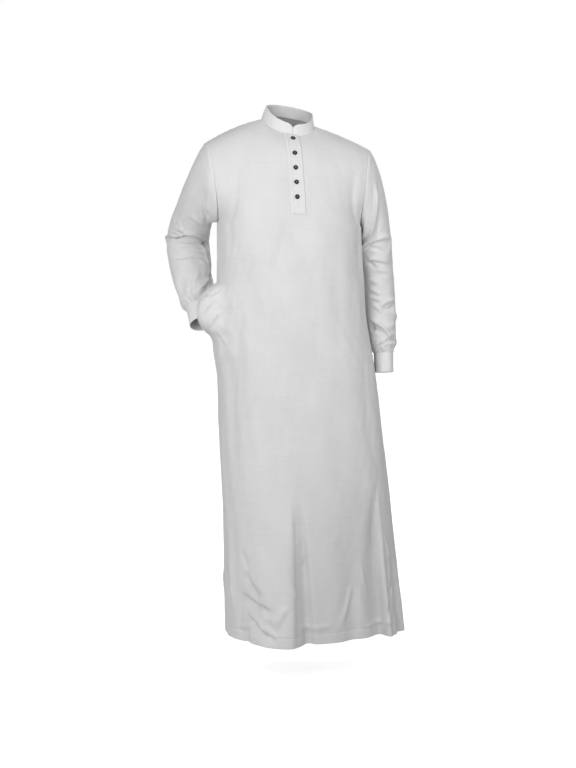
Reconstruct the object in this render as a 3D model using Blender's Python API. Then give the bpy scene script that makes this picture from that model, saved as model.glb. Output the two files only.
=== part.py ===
"""Ankle-length thobe robe in its worn, hollow form.

The pieces are the ones that a maker cuts and sews: front, back, two set-in sleeves, two cuffs,
a stand collar, the two layers of the button placket, five buttons and one side-seam pocket bag.
Every piece of cloth is a thin wall between two grids of points. Lengths are in millimetres until
a mesh is made. +Z is up, the front faces -Y and the wearer's right is at -X. The origin is the
centre of the neck seam.
"""
import math

import bmesh
import bpy
import numpy as np

MM = 0.001

# ---- Cloth -----------------------------------------------------------------------------------
WALL = 1.5              # body and sleeve cloth
BAND_WALL = 2.2         # doubled cloth of the collar and the cuffs
PLACKET_WALL = 1.6      # upper layer of the placket
UNDER_WALL = 1.0        # lower layer of the placket
SEAM_SHIFT = 0.3        # each edge at a seam is held back this far
LAY_GAP = 0.3           # air under a piece that lies on a panel

# ---- Body ------------------------------------------------------------------------------------
OVAL = 0.84             # power on sine and cosine: 1 is an ellipse, less is squarer
SHOULDER_COLUMNS = 7    # panel columns that end on one shoulder seam
NECK_COLUMNS_FRONT = 10
NECK_COLUMNS_BACK = 8
YOKE_ROWS = 10          # rows between the chest level and the shoulder seam
CHEST_RIGHT = -268.0    # level of the underarm on the wearer's right
CHEST_LEFT = -284.0     # and on the wearer's left
YOKE_ROUNDNESS = 0.9    # how strongly the cloth rounds out between the chest and the shoulder
CORNER_SPAN = 0.28      # share of the width over which a corner of the top edge is softened
ARMHOLE_REACH = 0.6     # share of the width over which an armhole's curve fades out

BODY_COLUMNS = ("level", "right", "left", "front", "back")
BODY_ROWS = (
    (-1408, -172, 326, -190, 176),
    (-1300, -175, 315, -186, 172),
    (-1120, -179, 294, -180, 166),
    (-900, -188, 268, -171, 158),
    (-654, -195, 236, -162, 148),
    (-520, -196, 211, -160, 142),
    (-437, -196, 202, -160, 138),
    (-340, -194, 196, -160, 136),
    (-276, -194, 200, -158, 134),
)

ROW_BAND_COLUMNS = ("bottom", "top", "rows")
ROW_BANDS = (
    (-1408, -1180, 5),
    (-1180, -660, 5),
    (-660, -583, 2),
    (-583, -437, 6),
    (-437, -276, 2),
)

# A fold is a soft ridge (height above 0) or trough (below 0) that runs down the cloth. Turn is
# its place round the body in degrees, 0 at the front centre and 90 at the wearer's left, at its
# lower end; lean is how far round it has moved at its upper end. A closed fold dies out below.
FOLD_COLUMNS = ("turn", "lean", "width", "height", "top", "bottom", "closed")
FOLD_ROWS = (
    (-27, -6, 15, 26, -860, -1408, 0),
    (-9, -4, 7, -20, -1000, -1408, 0),
    (25, 6, 27, -56, -880, -1408, 0),
    (52, -6, 9, 9, -1040, -1408, 0),
    (66, -5, 8, -12, -1000, -1408, 0),
    (-62, 5, 9, -9, -1120, -1408, 0),
    (112, 4, 12, -10, -900, -1408, 0),
    (140, 0, 12, 14, -900, -1408, 0),
    (166, 2, 11, -14, -760, -1408, 0),
    (-165, 0, 13, 16, -820, -1408, 0),
    (-138, -4, 12, -13, -880, -1408, 0),
    (-112, -2, 12, 8, -980, -1408, 0),
)

# ---- Neck and collar -------------------------------------------------------------------------
NECK_HALF_WIDTH = 71.0
NECK_FRONT = -66.0
NECK_BACK = 58.0
NECK_DROP = 41.0        # the seam is this much lower in front than at the side
NECK_LIFT = 14.0        # and this much higher behind
NECK_ROLL = -0.13       # rise for each unit towards the wearer's left
NECK_RISE = 4.0
SEAM_TURN = 84.0        # where the shoulder seam meets the neck, in degrees from the front centre
COLLAR_HEIGHT = 29.0
COLLAR_END_HEIGHT = 15.0
COLLAR_END_ROUND = 17.0  # degrees of turn over which an end rounds down to the notch
COLLAR_LEAN = 0.27      # how far the band leans in for each unit of its height
COLLAR_UP = (0.10, -0.28, 1.0)
COLLAR_GAP_TURN = 0.35  # degrees between the front centre and each end of the band
COLLAR_COLUMNS = 48
COLLAR_ROWS = 3

# ---- Armholes: shoulder point, underarm point, and how far the seam bows ahead and behind -----
# Twist, in degrees, turns the sleeve round the arm, because an arm that is drawn back turns it.
SIDES = {
    "right": {
        "sign": -1.0,
        "shoulder": (-224.0, 2.0, -56.0),
        "underarm": (-194.0, 0.0, CHEST_RIGHT),
        "ahead": (-5.0, -92.0, 6.0),
        "behind": (6.0, 86.0, 4.0),
        "shoulder_arch": 8.0,
        "twist": 35.0,
    },
    "left": {
        "sign": 1.0,
        "shoulder": (225.0, 2.0, -72.0),
        "underarm": (200.0, 0.0, CHEST_LEFT),
        "ahead": (-16.0, -92.0, 6.0),
        "behind": (-8.0, 86.0, 4.0),
        "shoulder_arch": 4.0,
        "twist": 0.0,
    },
}

# ---- Sleeves: centre line with the ring's half sizes out from the body and towards its front --
ARM_COLUMNS = ("x", "y", "z", "across", "deep")
ARM_RIGHT = (
    (-246, 92, -245, 53, 62),
    (-254, 131, -282, 57, 60),
    (-258, 150, -327, 60, 55),
    (-254, 138, -383, 59, 52),
    (-249, 104, -430, 55, 50),
    (-244, 66, -476, 47, 46),
    (-240, 42, -505, 36, 38),
    (-236, 14, -546, 34, 37),
)
ARM_LEFT = (
    (250, 8, -336, 41, 57),
    (255, 12, -400, 42, 56),
    (260, 10, -470, 42, 54),
    (262, 2, -540, 41, 52),
    (266, -8, -600, 35, 48),
    (267, -14, -634, 26, 43),
    (267, -20, -684, 25, 42),
)
HEAD_ROWS = 6           # rows from the armhole to the first ring of the arm
ARM_ROWS = 3            # rows between one ring of the table and the next
CUFF_ROWS = 3
HEAD_OUT = (0.8, 0.05, -0.6)   # the way the sleeve leaves the armhole, mirrored for each side
HEAD_PULL = 0.55        # strength of that direction, as a share of the distance to be crossed

# Folds across a sleeve: along is the place on the centre line, 0 at the first ring of the table
# and 1 more for each ring; turn is the side that the fold lies on, 0 outwards and 90 in front;
# lean moves it along the arm as it goes round.
CROSS_COLUMNS = ("along", "lean", "width", "height", "turn", "spread")
CROSS_RIGHT = (
    (1.75, 0.1, 0.28, -9, 70, 60),
    (2.35, 0.2, 0.22, 6, 60, 60),
    (3.40, -0.3, 0.25, -5, 30, 80),
    (4.30, 0.3, 0.25, 5, 40, 70),
    (5.10, -0.2, 0.20, -4, 30, 90),
)
CROSS_LEFT = (
    (0.55, 0.5, 0.22, -5, 120, 70),
    (1.45, -0.3, 0.20, -4, 60, 80),
    (1.95, 0.2, 0.18, 4, 70, 80),
    (2.75, 0.5, 0.20, 6, 90, 70),
    (3.15, 0.5, 0.18, -6, 100, 70),
    (3.70, -0.2, 0.20, 5, 40, 100),
)

# ---- Side-seam pocket on the wearer's right ----------------------------------------------------
LIP_COLUMNS = ("level", "out", "ahead")
LIP_ROWS = (
    (-600, 0, 0),
    (-578, 12, 8),
    (-560, 30, 22),
    (-535, 46, 34),
    (-505, 50, 38),
    (-475, 42, 34),
    (-455, 20, 20),
    (-437, 0, 0),
)
LIP_SPREAD = 18.0       # degrees round the body over which the front lip's bow fades
POCKET_SWELL = 13.0     # how far both panels stand out just below the mouth
POCKET_SWELL_LEVEL = -604.0
POCKET_SWELL_HEIGHT = 60.0
POCKET_SWELL_SPREAD = 30.0
BAG_FOOT = (-100.0, -32.0, -610.0)   # centre of the bag's closed end
BAG_HALF_HEIGHT = 84.0
BAG_HALF_THICKNESS = 9.0
BAG_BLUNTNESS = 0.92    # share of the way to a point at which the end is closed off
BAG_ROWS = 7
BAG_GAP = 0.4           # air between the bag's edge and the inside of a lip
BAG_LEAST_BOW = 10.0    # the bag starts and ends where the lip bows out this far

# ---- Placket and buttons ---------------------------------------------------------------------
PLACKET_HALF_WIDTH = 15.5
UNDER_PEEK = 8.5        # how far the lower layer shows past the upper one
PLACKET_BOTTOM = -249.0
PLACKET_DRIFT = 3.0     # sideways move of its lower end
PLACKET_COLUMNS = 4
PLACKET_TOP_GAP = 0.006   # share of the yoke between the placket and the neck seam
BUTTON_COUNT = 5
BUTTON_FIRST = -50.0    # level of the highest button
BUTTON_PITCH = 38.6
BUTTON_X = -3.0
BUTTON_RADIUS = 6.2
BUTTON_SEGMENTS = 16
BUTTON_PROFILE = (      # radius as a share of the whole, height above the placket
    (0.0, 1.9),
    (0.55, 1.9),
    (0.70, 2.9),
    (0.90, 3.1),
    (1.0, 2.3),
    (1.0, 1.0),
    (0.80, 0.3),
    (0.0, 0.3),
)


# ---- Small mathematics -----------------------------------------------------------------------
def columns(names, rows):
    """A table as one array for each named column."""
    return dict(zip(names, np.array(rows, float).T))


def smooth(x, y, at):
    """Cubic curve through the points (x, y); the slope at each comes from its neighbours."""
    slope = np.gradient(y, x)
    at = np.clip(at, x[0], x[-1])
    cell = np.clip(np.searchsorted(x, at) - 1, 0, len(x) - 2)
    step = x[cell + 1] - x[cell]
    t = (at - x[cell]) / step
    start = (1 + 2 * t) * (1 - t) ** 2 * y[cell] + t * (1 - t) ** 2 * step * slope[cell]
    end = t * t * (3 - 2 * t) * y[cell + 1] + t * t * (t - 1) * step * slope[cell + 1]
    return start + end


def ease(t):
    """0 to 1 with level ends."""
    t = np.clip(t, 0, 1)
    return t * t * (3 - 2 * t)


def unit(vectors):
    """Vectors brought to length 1."""
    return vectors / np.maximum(np.linalg.norm(vectors, axis=-1, keepdims=True), 1e-9)


def apart(a, b):
    """Difference of two angles in degrees, between -180 and 180."""
    return (a - b + 180.0) % 360.0 - 180.0


# ---- Body below the arms ---------------------------------------------------------------------
BODY = columns(BODY_COLUMNS, BODY_ROWS)
LIP = columns(LIP_COLUMNS, LIP_ROWS)


def fold_offset(turn, level):
    """Sum of the folds: a bell across each, a slow start at its top and, if closed, an end."""
    total = np.zeros(np.broadcast(turn, level).shape)
    for row in FOLD_ROWS:
        fold = dict(zip(FOLD_COLUMNS, row))
        down = np.clip((fold["top"] - level) / (fold["top"] - fold["bottom"]), 0, 1)
        middle = fold["turn"] + fold["lean"] * (1 - down)
        bell = np.exp(-(apart(turn, middle) / fold["width"]) ** 2)
        fade = ease(down) * (1 - fold["closed"] * ease((down - 0.6) / 0.4))
        total = total + fold["height"] * bell * fade
    return total


def body_point(turn, level, lip):
    """Rounded oval section at a level, with folds; lip 1 bows the front lip of the pocket."""
    right = smooth(BODY["level"], BODY["right"], level)
    left = smooth(BODY["level"], BODY["left"], level)
    front = smooth(BODY["level"], BODY["front"], level)
    back = smooth(BODY["level"], BODY["back"], level)
    side = np.sin(np.radians(turn))
    ahead = np.cos(np.radians(turn))
    out = fold_offset(turn, level)
    out = out + POCKET_SWELL * np.exp(-(apart(turn, -90) / POCKET_SWELL_SPREAD) ** 2
                                      - ((level - POCKET_SWELL_LEVEL) / POCKET_SWELL_HEIGHT) ** 2)
    x = (left + right) / 2 + (left - right) / 2 * np.sign(side) * np.abs(side) ** OVAL
    y = np.where(ahead >= 0, front, back) * np.abs(ahead) ** OVAL
    near_lip = lip * np.exp(-(apart(turn, -90) / LIP_SPREAD) ** 2)
    inside = (level > LIP["level"][0]) & (level < LIP["level"][-1])
    x = x + out * side - near_lip * inside * smooth(LIP["level"], LIP["out"], level)
    y = y - out * ahead - near_lip * inside * smooth(LIP["level"], LIP["ahead"], level)
    return np.stack(np.broadcast_arrays(x, y, level), axis=-1)


def chest_tilt(turn, level):
    """Levels tilted near the chest, so that the top row passes through both underarm points."""
    middle = BODY["level"][-1]
    share = ease((level + 700.0) / (middle + 700.0))
    lift = (CHEST_LEFT + CHEST_RIGHT) / 2 - middle
    swing = (CHEST_LEFT - CHEST_RIGHT) / 2 * np.sin(np.radians(turn))
    return level + share * (lift + swing)


def skirt(turn, level, lip):
    """Body surface from the hem to the chest row."""
    points = body_point(turn, level, lip)
    points[..., 2] = chest_tilt(turn, level)
    return points


# ---- Neck, shoulders and armholes ------------------------------------------------------------
def neck_point(turn):
    """Neck seam: an oval, lower in front and rolled a little to the wearer's left."""
    side = np.sin(np.radians(turn))
    ahead = np.cos(np.radians(turn))
    x = NECK_HALF_WIDTH * side
    y = np.where(ahead >= 0, NECK_FRONT, NECK_BACK) * np.abs(ahead)
    z = NECK_RISE - np.where(ahead >= 0, NECK_DROP, NECK_LIFT) * ahead + NECK_ROLL * x
    return np.stack(np.broadcast_arrays(x, y, z), axis=-1)


def armhole(side, ring):
    """Armhole seam: ring 0 at the shoulder point, 90 in front, 180 underarm, 270 behind."""
    top = np.array(side["shoulder"])
    low = np.array(side["underarm"])
    c = np.cos(np.radians(ring))[..., None]
    s = np.sin(np.radians(ring))[..., None]
    bow = np.where(s >= 0, np.array(side["ahead"]), np.array(side["behind"]))
    return (top + low) / 2 + (top - low) / 2 * c + bow * np.abs(s)


def shoulder_seam(side, t):
    """Seam from the shoulder point (t 0) to the neck (t 1), a little arched."""
    start = np.array(side["shoulder"])
    end = neck_point(np.array(side["sign"] * SEAM_TURN))
    t = t[..., None]
    points = start + (end - start) * t
    return points + np.array((0, 0, side["shoulder_arch"])) * 4 * t * (1 - t)


def panel_top(u, share, front):
    """Top edge of a panel: shoulder seam, neckline, shoulder seam."""
    right = shoulder_seam(SIDES["right"], np.clip(u / share, 0, 1))
    left = shoulder_seam(SIDES["left"], np.clip((1 - u) / share, 0, 1))
    t = np.clip((u - share) / (1 - 2 * share), 0, 1)
    if front:
        turn = -SEAM_TURN + 2 * SEAM_TURN * t
    else:
        turn = -SEAM_TURN - (360 - 2 * SEAM_TURN) * t
    neck = neck_point(turn)
    u = u[..., None]
    return np.where(u < share, right, np.where(u > 1 - share, left, neck))


def softened_top(u, v, share, front):
    """Top edge averaged over a span that grows down the cloth, so its corners fade out."""
    span = CORNER_SPAN * ease((1 - v) / 0.6) * np.minimum(1, np.minimum(u, 1 - u) / CORNER_SPAN)
    total = 0.0
    weight = 0.0
    for k in np.linspace(-1, 1, 9):
        share_of_sum = math.cos(k * math.pi / 2.5)
        total = total + share_of_sum * panel_top(u + k * span, share, front)
        weight += share_of_sum
    return total / weight


def rise(low, high, v, front):
    """Curve from the chest to the top edge: straight up at first, then rounding over."""
    forward = -1.0 if front else 1.0
    reach = YOKE_ROUNDNESS * np.linalg.norm(high - low, axis=-1, keepdims=True)
    start = np.array((0.0, 0.0, 1.0)) * reach
    end = unit(np.array((0.0, -0.75 * forward, 0.66))) * reach
    t = v[..., None]
    return ((1 + 2 * t) * (1 - t) ** 2 * low + t * (1 - t) ** 2 * start
            + t * t * (3 - 2 * t) * high + t * t * (t - 1) * end)


def turn_taken(side, ring, front):
    """Degrees of the chest section that lie outside the armhole seam at a place on the seam."""
    depth = abs(BODY["front" if front else "back"][-1])
    share = np.clip(np.abs(armhole(side, ring)[..., 1]) / depth, 0, 1)
    return np.degrees(np.arcsin(share ** (1 / OVAL)))


def yoke(u, v, front):
    """Panel above the chest: curves that rise from the chest section to the top edge, bent at
    the sides so that they end on the armhole seams.

    u runs from the wearer's right to the left and v from the chest row to the top edge.
    """
    u, v = np.broadcast_arrays(u, v)
    neck_columns = NECK_COLUMNS_FRONT if front else NECK_COLUMNS_BACK
    share = SHOULDER_COLUMNS / (2 * SHOULDER_COLUMNS + neck_columns)
    ring = 180 - 180 * v if front else 180 + 180 * v
    first = -90 + turn_taken(SIDES["right"], ring, front)
    last = 90 - turn_taken(SIDES["left"], ring, front)
    chest = BODY["level"][-1] + np.zeros_like(u)

    def section(place):
        turn = first + (last - first) * place
        return skirt(turn if front else -180 - turn, chest, 0)

    points = rise(section(u), softened_top(u, v, share, front), v, front)
    ends = {"right": (u, 0.0), "left": (1 - u, 1.0)}
    for name, side in SIDES.items():
        distance, place = ends[name]
        plain = rise(section(place), np.array(side["shoulder"]), v, front)
        near = 1 - ease(distance / ARMHOLE_REACH)
        points = points + near[..., None] * (armhole(side, ring) - plain)
    return points


# ---- Grids of whole pieces -------------------------------------------------------------------
def row_levels():
    """Levels of the panel rows from the hem to the chest."""
    levels = []
    for row in ROW_BANDS:
        band = dict(zip(ROW_BAND_COLUMNS, row))
        levels.extend(np.linspace(band["bottom"], band["top"], band["rows"] + 1)[:-1])
    levels.append(ROW_BANDS[-1][1])
    return np.array(levels, float)


def panel_grid(front):
    """All points of the front or the back panel, a row for each level."""
    count = 2 * SHOULDER_COLUMNS + (NECK_COLUMNS_FRONT if front else NECK_COLUMNS_BACK)
    u = np.linspace(0, 1, count + 1)
    turn = -90 + 180 * u if front else -90 - 180 * u
    lower = skirt(turn[None, :], row_levels()[:, None], 1.0 if front else 0.0)
    v = np.linspace(0, 1, YOKE_ROWS + 1)
    upper = yoke(u[None, :], v[:, None], front)
    return np.concatenate([lower, upper[1:]], axis=0)


def arm_frame(table, along):
    """Centre, directions and half sizes of a sleeve's ring at places along its table."""
    place = np.arange(len(table["x"]), dtype=float)
    centre = np.stack([smooth(place, table[k], along) for k in "xyz"], axis=-1)
    small = 0.02
    ahead = np.stack([smooth(place, table[k], along + small) for k in "xyz"], axis=-1)
    behind = np.stack([smooth(place, table[k], along - small) for k in "xyz"], axis=-1)
    down = unit(ahead - behind)
    across = smooth(place, table["across"], along)
    deep = smooth(place, table["deep"], along)
    return centre, down, across, deep


def arm_ring(side, table, crosses, along, ring):
    """Points of a sleeve or cuff: an oval ring at each place, with the folds across it."""
    centre, down, across, deep = arm_frame(table, along)
    outward = np.array((side["sign"], 0.0, 0.0))
    out = unit(outward - down * (down @ outward)[..., None])
    ahead = np.cross(down, out) * side["sign"]
    lift = np.zeros(np.broadcast(along[:, None], ring[None, :]).shape)
    for row in crosses:
        fold = dict(zip(CROSS_COLUMNS, row))
        round_it = apart(ring[None, :], fold["turn"])
        middle = fold["along"] + fold["lean"] * round_it / 90.0
        bell = np.exp(-((along[:, None] - middle) / fold["width"]) ** 2)
        lift = lift + fold["height"] * bell * np.exp(-(round_it / fold["spread"]) ** 2)
    c = np.cos(np.radians(ring))[None, :, None]
    s = np.sin(np.radians(ring))[None, :, None]
    radial = c * out[:, None, :] + s * ahead[:, None, :]
    oval = c * (across[:, None, None] * out[:, None, :]) + s * (deep[:, None, None]
                                                               * ahead[:, None, :])
    return centre[:, None, :] + oval + radial * lift[..., None]


def sleeve_grid(side, table, crosses):
    """Points of a sleeve: a cubic blend from the armhole to the first ring, then the rings."""
    ring = np.linspace(0, 360, 2 * YOKE_ROWS + 1)[:-1]
    last = len(table["x"]) - 2
    along = np.linspace(0, last, ARM_ROWS * last + 1)
    arm = arm_ring(side, table, crosses, along, ring - side["twist"])
    start = armhole(side, ring)
    reach = np.linalg.norm(arm[0] - start, axis=-1, keepdims=True)
    leave = unit(np.array((side["sign"] * HEAD_OUT[0], HEAD_OUT[1], HEAD_OUT[2])))
    first_pull = HEAD_PULL * reach * leave
    down = arm_frame(table, np.array([0.05]))[1]
    onward = ((arm[0] - start) @ down[0])[:, None]
    last_pull = np.clip(onward, 0.2 * reach, reach) * down
    t = np.linspace(0, 1, HEAD_ROWS + 1)[:-1, None, None]
    head = ((1 + 2 * t) * (1 - t) ** 2 * start + t * (1 - t) ** 2 * first_pull
            + t * t * (3 - 2 * t) * arm[0] + t * t * (t - 1) * last_pull)
    return np.concatenate([head, arm], axis=0)


def cuff_grid(side, table):
    """Points of a cuff: the last stretch of the sleeve's table, without folds."""
    ring = np.linspace(0, 360, 2 * YOKE_ROWS + 1)[:-1]
    last = len(table["x"]) - 1
    along = np.linspace(last - 1, last, CUFF_ROWS + 1)
    return arm_ring(side, table, (), along, ring - side["twist"])


def collar_grid():
    """Points of the collar band: the neck seam carried up, leaning in, with rounded ends."""
    turn = np.linspace(COLLAR_GAP_TURN, 360 - COLLAR_GAP_TURN, COLLAR_COLUMNS + 1)
    from_end = np.minimum(turn, 360 - turn) / COLLAR_END_ROUND
    rounding = np.sqrt(1 - (1 - np.clip(from_end, 0, 1)) ** 2)
    height = COLLAR_END_HEIGHT + (COLLAR_HEIGHT - COLLAR_END_HEIGHT) * rounding
    t = np.linspace(0, 1, COLLAR_ROWS + 1)[:, None]
    rise = (LAY_GAP + t * height[None, :])[..., None]
    base = neck_point(turn)[None]
    inward = unit(-base * np.array((1.0, 1.0, 0.0)))
    up = unit(np.array(COLLAR_UP))
    return base + rise * up + rise * COLLAR_LEAN * inward


# ---- Walls -----------------------------------------------------------------------------------
def grid_normals(points, closed):
    """Outward unit normals of a grid whose columns run right to left seen from outside."""
    if closed:
        along = np.roll(points, -1, axis=1) - np.roll(points, 1, axis=1)
    else:
        along = np.gradient(points, axis=1)
    up = np.gradient(points, axis=0)
    return unit(np.cross(along, up))


def hold_back(points, rows, side_columns):
    """Edges moved inwards along the cloth, which leaves the air of the seams."""
    moved = points.copy()
    for here, following in rows:
        moved[here] += SEAM_SHIFT * unit(points[following] - points[here])
    for here, following in side_columns:
        moved[:, here] += SEAM_SHIFT * unit(points[:, following] - points[:, here])
    return moved


def wall_mesh(name, outer, inner, closed, capped=False):
    """Closed solid between two grids of the same shape; a capped tube is shut at its last row."""
    rows, cols = outer.shape[:2]
    mesh = bpy.data.meshes.new(name)
    bm = bmesh.new()
    skins = []
    for grid in (outer, inner):
        skins.append([[bm.verts.new(grid[r, c] * MM) for c in range(cols)] for r in range(rows)])
    last = cols if closed else cols - 1
    for c in range(last):
        d = (c + 1) % cols
        for r in range(rows - 1):
            face = [skins[0][r][c], skins[0][r][d], skins[0][r + 1][d], skins[0][r + 1][c]]
            bm.faces.new(face)
            back = [skins[1][r][c], skins[1][r + 1][c], skins[1][r + 1][d], skins[1][r][d]]
            bm.faces.new(back)
        bm.faces.new([skins[0][0][d], skins[0][0][c], skins[1][0][c], skins[1][0][d]])
        if not capped:
            bm.faces.new([skins[0][-1][c], skins[0][-1][d], skins[1][-1][d], skins[1][-1][c]])
    if capped:
        for skin, grid in zip(skins, (outer, inner)):
            pole = bm.verts.new(grid[-1].mean(axis=0) * MM)
            for c in range(cols):
                bm.faces.new([skin[-1][c], skin[-1][(c + 1) % cols], pole])
    if not closed:
        for r in range(rows - 1):
            bm.faces.new([skins[0][r][0], skins[0][r + 1][0], skins[1][r + 1][0], skins[1][r][0]])
            bm.faces.new([skins[0][r + 1][-1], skins[0][r][-1], skins[1][r][-1],
                          skins[1][r + 1][-1]])
    bmesh.ops.recalc_face_normals(bm, faces=bm.faces)
    bmesh.ops.triangulate(bm, faces=bm.faces)
    bm.to_mesh(mesh)
    bm.free()
    mesh.shade_smooth()
    mesh.set_sharp_from_angle(angle=math.radians(50))
    return mesh


def add_object(name, mesh, material):
    """Object for a mesh, with its material, in the scene's collection."""
    mesh.materials.append(material)
    piece = bpy.data.objects.new(name, mesh)
    bpy.context.scene.collection.objects.link(piece)
    return piece


def cloth_material(name, colour, roughness):
    """Matte woven cloth."""
    material = bpy.data.materials.new(name)
    material.use_nodes = True
    shader = material.node_tree.nodes["Principled BSDF"]
    shader.inputs["Base Color"].default_value = (*colour, 1.0)
    shader.inputs["Roughness"].default_value = roughness
    shader.inputs["Sheen Weight"].default_value = 0.15
    material.diffuse_color = (*colour, 1.0)
    return material


def button_material():
    """Dark, slightly glossy moulded plastic."""
    material = bpy.data.materials.new("button_plastic")
    material.use_nodes = True
    shader = material.node_tree.nodes["Principled BSDF"]
    shader.inputs["Base Color"].default_value = (0.02, 0.02, 0.022, 1.0)
    shader.inputs["Roughness"].default_value = 0.35
    material.diffuse_color = (0.02, 0.02, 0.022, 1.0)
    return material


# ---- Pieces ----------------------------------------------------------------------------------
def shared_normals(front, back, sleeves):
    """Normals of every piece, averaged where pieces meet at a seam, so that walls are mitred."""
    normals = {"front": grid_normals(front, False), "back": -grid_normals(back, False)}
    for name, grid in sleeves.items():
        normals[name] = grid_normals(grid, True) * SIDES[name]["sign"]
    levels = row_levels()
    chest = len(levels) - 1
    sewn = np.ones(len(front), bool)
    sewn[:chest] = (levels[:chest] <= LIP["level"][0]) | (levels[:chest] >= LIP["level"][-1])
    for column, chosen in ((0, sewn), (-1, np.ones(len(front), bool))):
        chosen = chosen & (np.arange(len(front)) < chest)
        both = unit(normals["front"][chosen, column] + normals["back"][chosen, column])
        normals["front"][chosen, column] = both
        normals["back"][chosen, column] = both
    shoulders = list(range(1, SHOULDER_COLUMNS + 1))
    for column in shoulders + [-1 - c for c in shoulders]:
        both = unit(normals["front"][-1, column] + normals["back"][-1, column])
        normals["front"][-1, column] = both
        normals["back"][-1, column] = both
    for name, column in (("right", 0), ("left", -1)):
        for ring in range(2 * YOKE_ROWS):
            panels = []
            if ring <= YOKE_ROWS:
                panels.append(("front", len(front) - 1 - ring))
            if ring >= YOKE_ROWS or ring == 0:
                panels.append(("back", chest + ring - YOKE_ROWS if ring else len(back) - 1))
            parts = [normals[panel][row, column] for panel, row in panels]
            both = unit(sum(parts) / len(parts) + normals[name][0, ring])
            normals[name][0, ring] = both
            for panel, row in panels:
                normals[panel][row, column] = both
    return normals


def build_cloth(material):
    """Front, back and sleeves, whose walls meet in mitred seams."""
    tables = {"right": columns(ARM_COLUMNS, ARM_RIGHT), "left": columns(ARM_COLUMNS, ARM_LEFT)}
    crosses = {"right": CROSS_RIGHT, "left": CROSS_LEFT}
    front = panel_grid(True)
    back = panel_grid(False)
    sleeves = {name: sleeve_grid(SIDES[name], tables[name], crosses[name]) for name in SIDES}
    normals = shared_normals(front, back, sleeves)
    edges = ((-1, -2),), ((0, 1), (-1, -2))
    for name, grid in (("front", front), ("back", back)):
        inner = grid - WALL * normals[name]
        mesh = wall_mesh(name, hold_back(grid, *edges), hold_back(inner, *edges), False)
        add_object(name, mesh, material)
    for name, grid in sleeves.items():
        ends = ((0, 1), (-1, -2)), ()
        inner = grid - WALL * normals[name]
        node = "sleeve_" + name
        mesh = wall_mesh(node, hold_back(grid, *ends), hold_back(inner, *ends), True)
        add_object(node, mesh, material)
    return tables


def build_cuffs(tables, material):
    """Cuffs: plain bands that carry on from the sleeves."""
    for name, table in tables.items():
        grid = cuff_grid(SIDES[name], table)
        normal = grid_normals(grid, True) * SIDES[name]["sign"]
        ends = ((0, 1),), ()
        node = "cuff_" + name
        mesh = wall_mesh(node, hold_back(grid, *ends),
                         hold_back(grid - BAND_WALL * normal, *ends), True)
        add_object(node, mesh, material)


def build_collar(material):
    """Stand collar with a small notch at the front."""
    grid = collar_grid()
    mesh = wall_mesh("collar", grid, grid - BAND_WALL * grid_normals(grid, False), False)
    add_object("collar", mesh, material)


def between_rows(u, v):
    """Front yoke as its panel is built: straight from one row of points to the next."""
    low = np.clip(np.floor(v * YOKE_ROWS), 0, YOKE_ROWS - 1)
    share = (v * YOKE_ROWS - low)[..., None]
    lower = yoke(u, low / YOKE_ROWS, True)
    return lower + share * (yoke(u, (low + 1) / YOKE_ROWS, True) - lower)


def place_on_front(x, level):
    """Where on the front yoke a point with this x and this level lies, as u and v."""
    trial_v = np.linspace(0.05, 1.0, 400)
    middle = between_rows(np.full_like(trial_v, 0.5), trial_v)
    v = np.interp(level, middle[:, 2], trial_v)
    trial_u = np.linspace(0.3, 0.7, 200)
    line = between_rows(trial_u, np.full_like(trial_u, v))
    return np.interp(x, line[:, 0], trial_u), v


def placket_grid(left_edge, right_edge):
    """Points on the front panel between two edges, from the placket's foot to the neck seam."""
    foot = place_on_front(0.0, PLACKET_BOTTOM)[1]
    rows = np.arange(YOKE_ROWS + 1) / YOKE_ROWS
    v = np.concatenate([[foot], rows[rows > foot + 0.02]])
    v[-1] -= PLACKET_TOP_GAP
    across = np.linspace(left_edge, right_edge, PLACKET_COLUMNS + 1)
    trial_u = np.linspace(0.3, 0.7, 200)
    grid = []
    for level in v:
        drift = PLACKET_DRIFT * (1 - level) / (1 - foot)
        line = between_rows(trial_u, np.full_like(trial_u, level))
        u = np.interp(across + drift, line[:, 0], trial_u)
        grid.append(between_rows(u, np.full_like(u, level)))
    return np.array(grid)


def build_plackets(material):
    """The two layers of the button placket, the wearer's left over the right."""
    under = placket_grid(-PLACKET_HALF_WIDTH - UNDER_PEEK, PLACKET_HALF_WIDTH - 1.0)
    normal = grid_normals(under, False)
    mesh = wall_mesh("placket_under", under + (LAY_GAP + UNDER_WALL) * normal,
                     under + LAY_GAP * normal, False)
    add_object("placket_under", mesh, material)
    over = placket_grid(-PLACKET_HALF_WIDTH, PLACKET_HALF_WIDTH)
    normal = grid_normals(over, False)
    base = 2 * LAY_GAP + UNDER_WALL
    top = base + PLACKET_WALL
    mesh = wall_mesh("placket", over + top * normal, over + base * normal, False)
    add_object("placket", mesh, material)
    return top


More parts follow.
